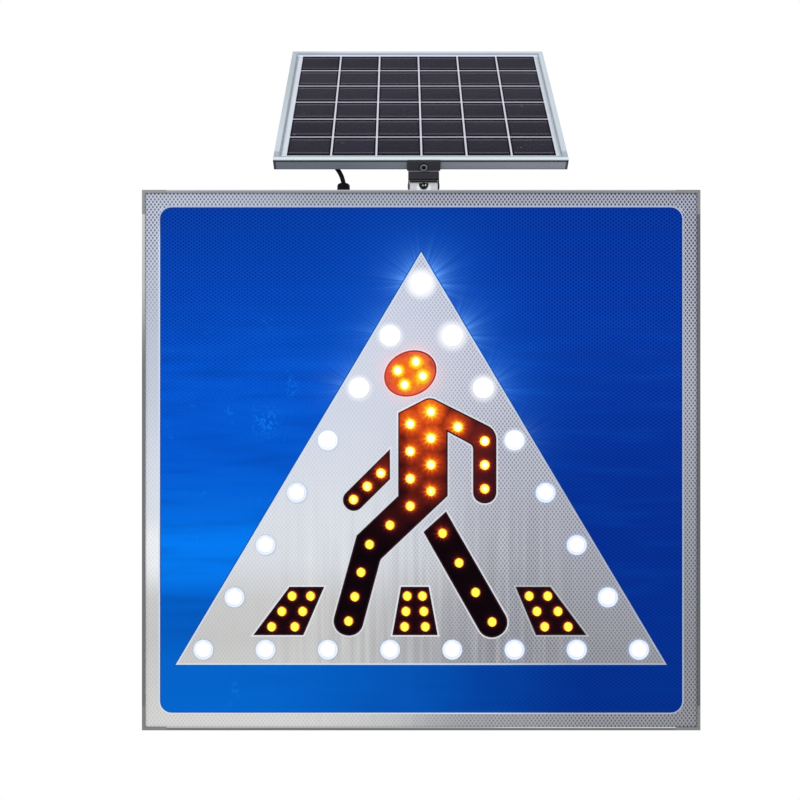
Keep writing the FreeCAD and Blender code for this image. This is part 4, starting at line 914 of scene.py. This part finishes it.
def panelBar(name, along):
    # anodised bar of the panel's frame: pale lip above, greyer outer face with a dark lower edge
    here = startFinish(name)
    x, _ = axesOf(here)
    slope, out = onSlope(here)
    grain = (6.0, 900.0, 900.0) if along == "x" else (900.0, 9.0, 9.0)
    lines = cloud(stretched(here, grain), 1.0, 4.0)
    blotch = cloud(here, 16.0, 3.0)
    ends = step(abs(x), 163.9 * mm, 164.6 * mm) * step(slope, 3.0 * mm, 1.0 * mm)
    wall = layered(
        mixed(step(x, -0.17, 0.17), (98, 106, 120), (156, 160, 170)),
        (lines * 0.35 + blotch * 0.2, (168, 178, 190)),
        (step(out, -11.2 * mm, -12.2 * mm) * 0.6, (60, 64, 72)),
        (step(out, -3.6 * mm, -2.9 * mm) * 0.88, (34, 38, 44)),
        (ends * 0.8, (34, 36, 40)))
    groove = panel["halfLip"] - abs(abs(x) - (panel["halfWidth"] - 3.0 * mm))
    edge = step(groove, 2.6 * mm, 2.1 * mm) if along == "s" else lines * 0.1
    inner = step(slope, 4.9 * mm, 5.7 * mm) * step(slope, 20.0 * mm, 15.0 * mm)
    pale = layered(
        mixed(lines * 0.5 + blotch * 0.4, (176, 186, 198), (214, 224, 232)),
        (step(slope, 6.0 * mm, 4.0 * mm) * 0.5, (230, 240, 238)),
        (inner * 0.8, (148, 164, 178)),
        (edge * 0.5, (150, 166, 176)),
        (step(x, -0.1, -0.16) * step(slope, 40.0 * mm, 200.0 * mm) * 0.5, (150, 158, 166)))
    return endFinish(here, mixed(step(out, -0.95 * mm, -0.85 * mm), wall, pale),
                     0.36 + lines * 0.14, metal=0.35, normal=bumped(lines, 0.06))


def sealRubber():
    # grey bead between the glass and the frame
    here = startFinish("sealRubber")
    grain = cloud(here, 600.0, 3.0)
    blotch = cloud(here, 30.0, 3.0)
    base = mixed(blotch, (140, 153, 164), (152, 165, 177))
    return endFinish(here, mixed(grain * 0.3, base, (112, 122, 132)), 0.55 + grain * 0.2,
                     shine=0.2, normal=bumped(grain, 0.15))


def paleBacksheet():
    # the sheet that shows round the cells: light from the glass's edge fills its back strip
    here = startFinish("backsheet")
    x, _ = axesOf(here)
    slope, out = onSlope(here)
    grain = cloud(here, 500.0, 3.0)
    blotch = cloud(here, 25.0, 3.0)
    strip = step(slope, 257.0 * mm, 258.5 * mm)
    pale = layered(
        mixed(blotch, (204, 212, 222), (214, 222, 232)),
        (step(abs(x), 154.0 * mm, 153.0 * mm) * step(out, -3.4 * mm, -3.2 * mm), (212, 210, 226)),
        (step(slope, 9.2 * mm, 8.4 * mm) * 0.75, (150, 166, 180)))
    return endFinish(here, pale, 0.4 + grain * 0.16, shine=0.2, normal=bumped(grain, 0.05),
                     glow=mixed(strip, (0, 0, 0), (206, 214, 224)), power=0.7)


bracket = {"middle": 3.4 * mm, "socket": (3.9 * mm, 309.9 * mm), "glintsApart": 1.45 * mm,
           "bend": 0.3269, "webFoot": 0.3181, "knuckleTop": 0.3138}


def knuckleMetal():
    # drawn aluminium with a painted highlight over its lower part, strongest in the middle,
    # and painted shade where its round top lies in the web's shade
    here = startFinish("knuckleMetal")
    x, z = axesOf(here)
    lines = cloud(stretched(here, (4.0, 800.0, 800.0)), 1.0, 5.0, 0.6)
    blotch = cloud(here, 12.0, 3.0)
    top, near = bracket["knuckleTop"], abs(x - bracket["middle"])
    bright = step(z, top - 1.6 * mm, top - 5.0 * mm) * (0.25 + 0.5 * step(near, 9.0 * mm, 6.0 * mm))
    base = layered(
        mixed(lines * 0.6 + blotch * 0.4, (152, 154, 160), (186, 188, 194)),
        (bright, (250, 250, 252)),
        (step(z, top - 0.4 * mm, top + 0.4 * mm), (30, 30, 34)))
    return endFinish(here, base, 0.24 + lines * 0.12, metal=0.8, normal=bumped(lines, 0.08))


def bracketCoat():
    # dark powder coat, lighter above the bend, with a painted highlight along the bend between
    # flange and web and a painted shadow at the web's foot
    here = startFinish("bracketCoat")
    _, z = axesOf(here)
    pits = cloud(here, 650.0, 5.0, 0.65)
    blotch = cloud(here, 30.0, 3.0)
    bend, foot = bracket["bend"], bracket["webFoot"]
    base = layered(
        mixed(blotch * 0.6 + pits * 0.4, (44, 43, 48), (58, 56, 64)),
        (step(z, bend - 0.7 * mm, bend + 0.1 * mm) * 0.6, (62, 64, 66)),
        (step(abs(z - bend), 0.9 * mm, 0.3 * mm) * (0.35 + 0.3 * pits), (150, 146, 162)),
        (step(z, foot + 0.5 * mm, foot - 0.5 * mm) * 0.85, (10, 9, 14)))
    return endFinish(here, base, 0.36 + pits * 0.15, shine=0.06,
                     normal=bumped(pits, 0.18, 0.3 * mm))


def lockSteel():
    # black screw with two painted glints beside its socket
    here = startFinish("lockSteel")
    x, z = axesOf(here)
    pits = cloud(here, 600.0)
    across, up = abs(x - bracket["socket"][0]) - bracket["glintsApart"], z - bracket["socket"][1]
    glint = step(abs(across), 1.0 * mm, 0.6 * mm) * step(abs(up), 1.0 * mm, 0.5 * mm)
    return endFinish(here, mixed(glint * (0.7 + pits * 0.3), (14, 14, 16), (236, 238, 242)),
                     0.26 + pits * 0.15, metal=0.2, shine=0.1)


def ringedScrew():
    # black screw with a painted glint, a bright ring round its socket
    here = startFinish("ringedScrew")
    x, _ = axesOf(here)
    _, out = onSlope(here)
    fromAxis = reachFrom(panel["screw"], x, out)
    ring = step(fromAxis, 2.5 * mm, 3.0 * mm) * step(fromAxis, 4.1 * mm, 3.6 * mm)
    pits = cloud(here, 600.0)
    return endFinish(here, mixed(ring * (0.4 + pits * 0.6), (26, 26, 29), (190, 196, 204)),
                     0.3 + pits * 0.2, metal=ring * 0.6, shine=0.2)


# Metals and plastics: one finish for each kind of maker's surface
def grainedMetal(name, pale, dark, grain, rough):
    # drawn or brushed metal: noise stretched along the grain, with slow blotches over it
    here = startFinish(name)
    lines = cloud(stretched(here, grain), 1.0, 5.0, 0.6)
    blotch = cloud(here, 12.0, 3.0)
    return endFinish(here, mixed(lines * 0.6 + blotch * 0.4, dark, pale),
                     rough - 0.08 + lines * 0.12 + blotch * 0.06, metal=1.0,
                     normal=bumped(lines, 0.08))


def castMetal(name, pale, dark, rough, metal=1.0):
    # cast or plated metal: fine pits and slow blotches
    here = startFinish(name)
    pits = cloud(here, 650.0, 5.0, 0.65)
    blotch = cloud(here, 30.0, 3.0)
    return endFinish(here, mixed(blotch * 0.6 + pits * 0.4, dark, pale), rough + pits * 0.15,
                     metal=metal, normal=bumped(pits, 0.18, 0.3 * mm))


def mouldedPlastic(name, pale, dark, rough, scale=1400.0, bump=0.12, shine=0.5):
    # moulded or coated surface: a fine grain of the given scale over slow blotches
    here = startFinish(name)
    grain = cloud(here, scale, 3.0)
    blotch = cloud(here, 25.0, 3.0)
    return endFinish(here, mixed(blotch, dark, pale), rough - 0.05 + grain * 0.16,
                     shine=shine, normal=bumped(grain, bump))


def barMetal(name, along):
    # anodised bars, each with painted light for where it lies: painted shade on top, painted
    # highlights at the left one's upper end and the bottom one's right
    here = startFinish(name)
    x, z = axesOf(here)
    grain = (6.0, 900.0, 900.0) if along == "x" else (900.0, 900.0, 6.0)
    lines = cloud(stretched(here, grain), 1.0, 4.0)
    blotch = cloud(here, 9.0, 3.0)
    if along == "x":
        # the top bar in painted shade with a painted highlight on its upper edge; the bottom bar
        # with a painted highlight on the upper half of its lip, brightest at the right
        top = mixed(step(z, 0.2986, 0.2992), (116, 118, 128), (166, 168, 176))
        bottom = mixed(step(z, -0.2975, -0.2968), (98, 99, 101), (204, 206, 208))
        base = mixed(step(z, -0.1, 0.1), bottom, top)
        pale = step(z, 0.1, -0.1) * step(x + blotch * 0.1, 0.1, 0.16) * step(z, -0.2975, -0.2968)
    else:
        # painted shade: the right bar darker than the left, with a painted highlight at the left
        # one's upper end
        base = mixed(step(x, -0.1, 0.1), (92, 94, 96), (62, 63, 66))
        pale = step(x, 0.1, -0.1) * step(z + blotch * 0.08, 0.14, 0.24) * 0.4
    base = layered(base, (pale * 0.9, (250, 251, 252)), (lines * 0.3, (176, 178, 180)),
                   (blotch * 0.3, (84, 85, 86)))
    return endFinish(here, base, 0.36 + lines * 0.14, metal=0.6, normal=bumped(lines, 0.06))


def makeMetals():
    dress(barMetal("frameBarLevel", "x"), "frame_top frame_bottom")
    dress(barMetal("frameBarUpright", "z"), "frame_left frame_right")
    dress(castMetal("cornerCasting", (140, 141, 142), (108, 109, 110), 0.45, 0.6), "corner_")
    dress(grainedMetal("millPlate", (190, 192, 195), (158, 160, 163), (700.0, 8.0, 8.0), 0.42),
          "face_plate back_cover knuckle_backing_plate")
    dress(grainedMetal("railMetal", (222, 224, 227), (190, 192, 195), (5.0, 900.0, 900.0), 0.34),
          "rail_upper rail_lower")
    dress(castMetal("rivetMetal", (150, 151, 154), (112, 113, 116), 0.3),
          "rail_rivets battery_clamp")
    dress(castMetal("zincScrew", (138, 138, 137), (98, 98, 97), 0.28),
          "cover_screws knuckle_screws pivot_pin")
    dress(castMetal("switchMetal", (198, 199, 202), (168, 169, 172), 0.24), "switch_")
    dress(knuckleMetal(), "bracket_knuckle")
    dress(lockSteel(), "tilt_lock_screw")
    dress(panelBar("panelBarLevel", "x"), "panel_frame_front panel_frame_back")
    dress(panelBar("panelBarSloped", "s"), "panel_frame_left panel_frame_right")
    dress(ringedScrew(), "flange_screw")


def makePlastics():
    dress(mouldedPlastic("blackNylon", (14, 14, 16), (6, 6, 8), 0.42, shine=0.05),
          "cable_gland gland_ junction_box")
    dress(bracketCoat(), "tilt_bracket")
    dress(mouldedPlastic("gasketRubber", (38, 38, 38), (26, 26, 26), 0.7, 600.0, 0.2),
          "cover_gasket")
    dress(sealRubber(), "panel_seal")
    dress(paleBacksheet(), "panel_backsheet")
    dress(mouldedPlastic("batteryWrap", (36, 84, 150), (24, 66, 128), 0.35, 300.0, 0.08),
          "battery_pack")
    dress(mouldedPlastic("controllerCase", (64, 66, 70), (48, 50, 54), 0.5),
          "charge_controller")
    dress(mouldedPlastic("boardGreen", (26, 96, 56), (16, 76, 44), 0.35, 200.0, 0.1),
          "lamp_strip lamp_board")
    dress(mouldedPlastic("wireSheath", (30, 30, 32), (18, 18, 20), 0.45), "wire_")
    here = startFinish("emitter")
    grain = cloud(here, 500.0)
    dress(endFinish(here, mixed(grain, (255, 250, 230), (250, 240, 190)), 0.3 + grain * 0.1,
                    glow=mixed(grain, (255, 252, 240), (255, 246, 214)), power=1.5),
          "white_emitters")


# A dark fold that runs back from the foot of the bracket's web, over the knuckle: a sheet put where
# the gap lies in shadow, standing in for that shade
fold = {"middle": 3.4, "half": 15.8, "front": -45.6, "back": -40.6, "under": 316.98, "sheet": 0.8,
        "round": 0.3}


def makeShadeFold():
    # an upright outline of (y, z) points carried along X; the caps are flat
    front, back, under = fold["front"], fold["back"], fold["under"]
    over = under + fold["sheet"]
    line = outlineOf([(front, under, 0), (back, under, fold["round"]), (back, over, fold["round"]),
                      (front, over, 0)], 5)
    ends = (fold["middle"] - fold["half"], fold["middle"] + fold["half"])
    points = np.array([[(x, y, z) for y, z in line] for x in ends]) * mm
    mesh = gridMesh("webShadeFold", points, True)
    closeMesh(mesh)
    piece = linkPiece("webShadeFold", mesh, nodes["tilt_bracket"].data.materials[0])
    mesh.polygons.foreach_set("use_smooth", np.zeros(len(mesh.polygons), bool))
    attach(piece, "panel")


makeCells()
makeGlass()
makeMetals()
makePlastics()
makeShadeFold()
print("panel, metals and plastics finished")


# Studio: a pale floor far below, white all round for the camera, and soft lamps
studio = {"floor": -0.9, "side": 60.0, "level": 0.78, "key": 34.0, "fill": 12.0}


def seenDirectly(port):
    # 1 for rays that the camera, a gloss or a clear surface sends
    path = port.node("LightPath", out="Is Camera Ray")
    sharp = path.beside("Is Glossy Ray").maths("MAXIMUM", path.beside("Is Transmission Ray"))
    return path.maths("MAXIMUM", sharp)


def makeStudio():
    half = studio["side"] / 2
    corners = np.array([[-half, -half], [half, -half], [-half, half], [half, half]])
    points = np.c_[corners, np.full(4, studio["floor"])].reshape(2, 2, 3)
    here = startFinish("paleFloor")
    pale = mixed(cloud(here, 3.0), (238, 238, 238), (244, 244, 244))
    matt = here.node("BsdfPrincipled", {}, {"Base Color": pale, "Roughness": 0.7})
    white = here.node("Emission", {}, {"Color": (1, 1, 1, 1), "Strength": 1.0})
    # close to the sign the floor shows its shadow, further out it's as white as the backdrop
    far = 0.75 + 0.25 * step(here.vector("LENGTH", out="Value"), 0.75, 1.0)
    blend = here.node("MixShader", {}, {0: seenDirectly(here) * far, 1: matt, 2: white})
    linkPiece("floor", gridMesh("floor", points, False), closed(here, blend))
    world = bpy.data.worlds.new("studio")
    world.use_nodes = True
    world.node_tree.nodes.clear()
    sky = Port(world.node_tree)
    level = seenDirectly(sky) * (1.0 - studio["level"]) + studio["level"]
    light = sky.node("Background", {}, {"Color": (1, 1, 1, 1), "Strength": level})
    sky.node("OutputWorld", {}, {"Surface": light})
    scene.world = world
    for name, place, size, power in (("keyLamp", (-1.4, -2.4, 1.9), 1.6, studio["key"]),
                                     ("fillLamp", (2.2, -2.0, 0.4), 1.8, studio["fill"])):
        light = bpy.data.lights.new(name, "AREA")
        light.size = size
        light.energy = power
        lamp = bpy.data.objects.new(name, light)
        lamp.location = place
        aim = np.array(place) - np.array([0.0, 0.0, 0.1])
        lamp.rotation_euler = (math.acos(aim[2] / np.linalg.norm(aim)), 0.0,
                               math.atan2(aim[1], aim[0]) + math.pi / 2)
        scene.collection.objects.link(lamp)
    scene.view_settings.view_transform = "Standard"


makeStudio()
print("studio set")
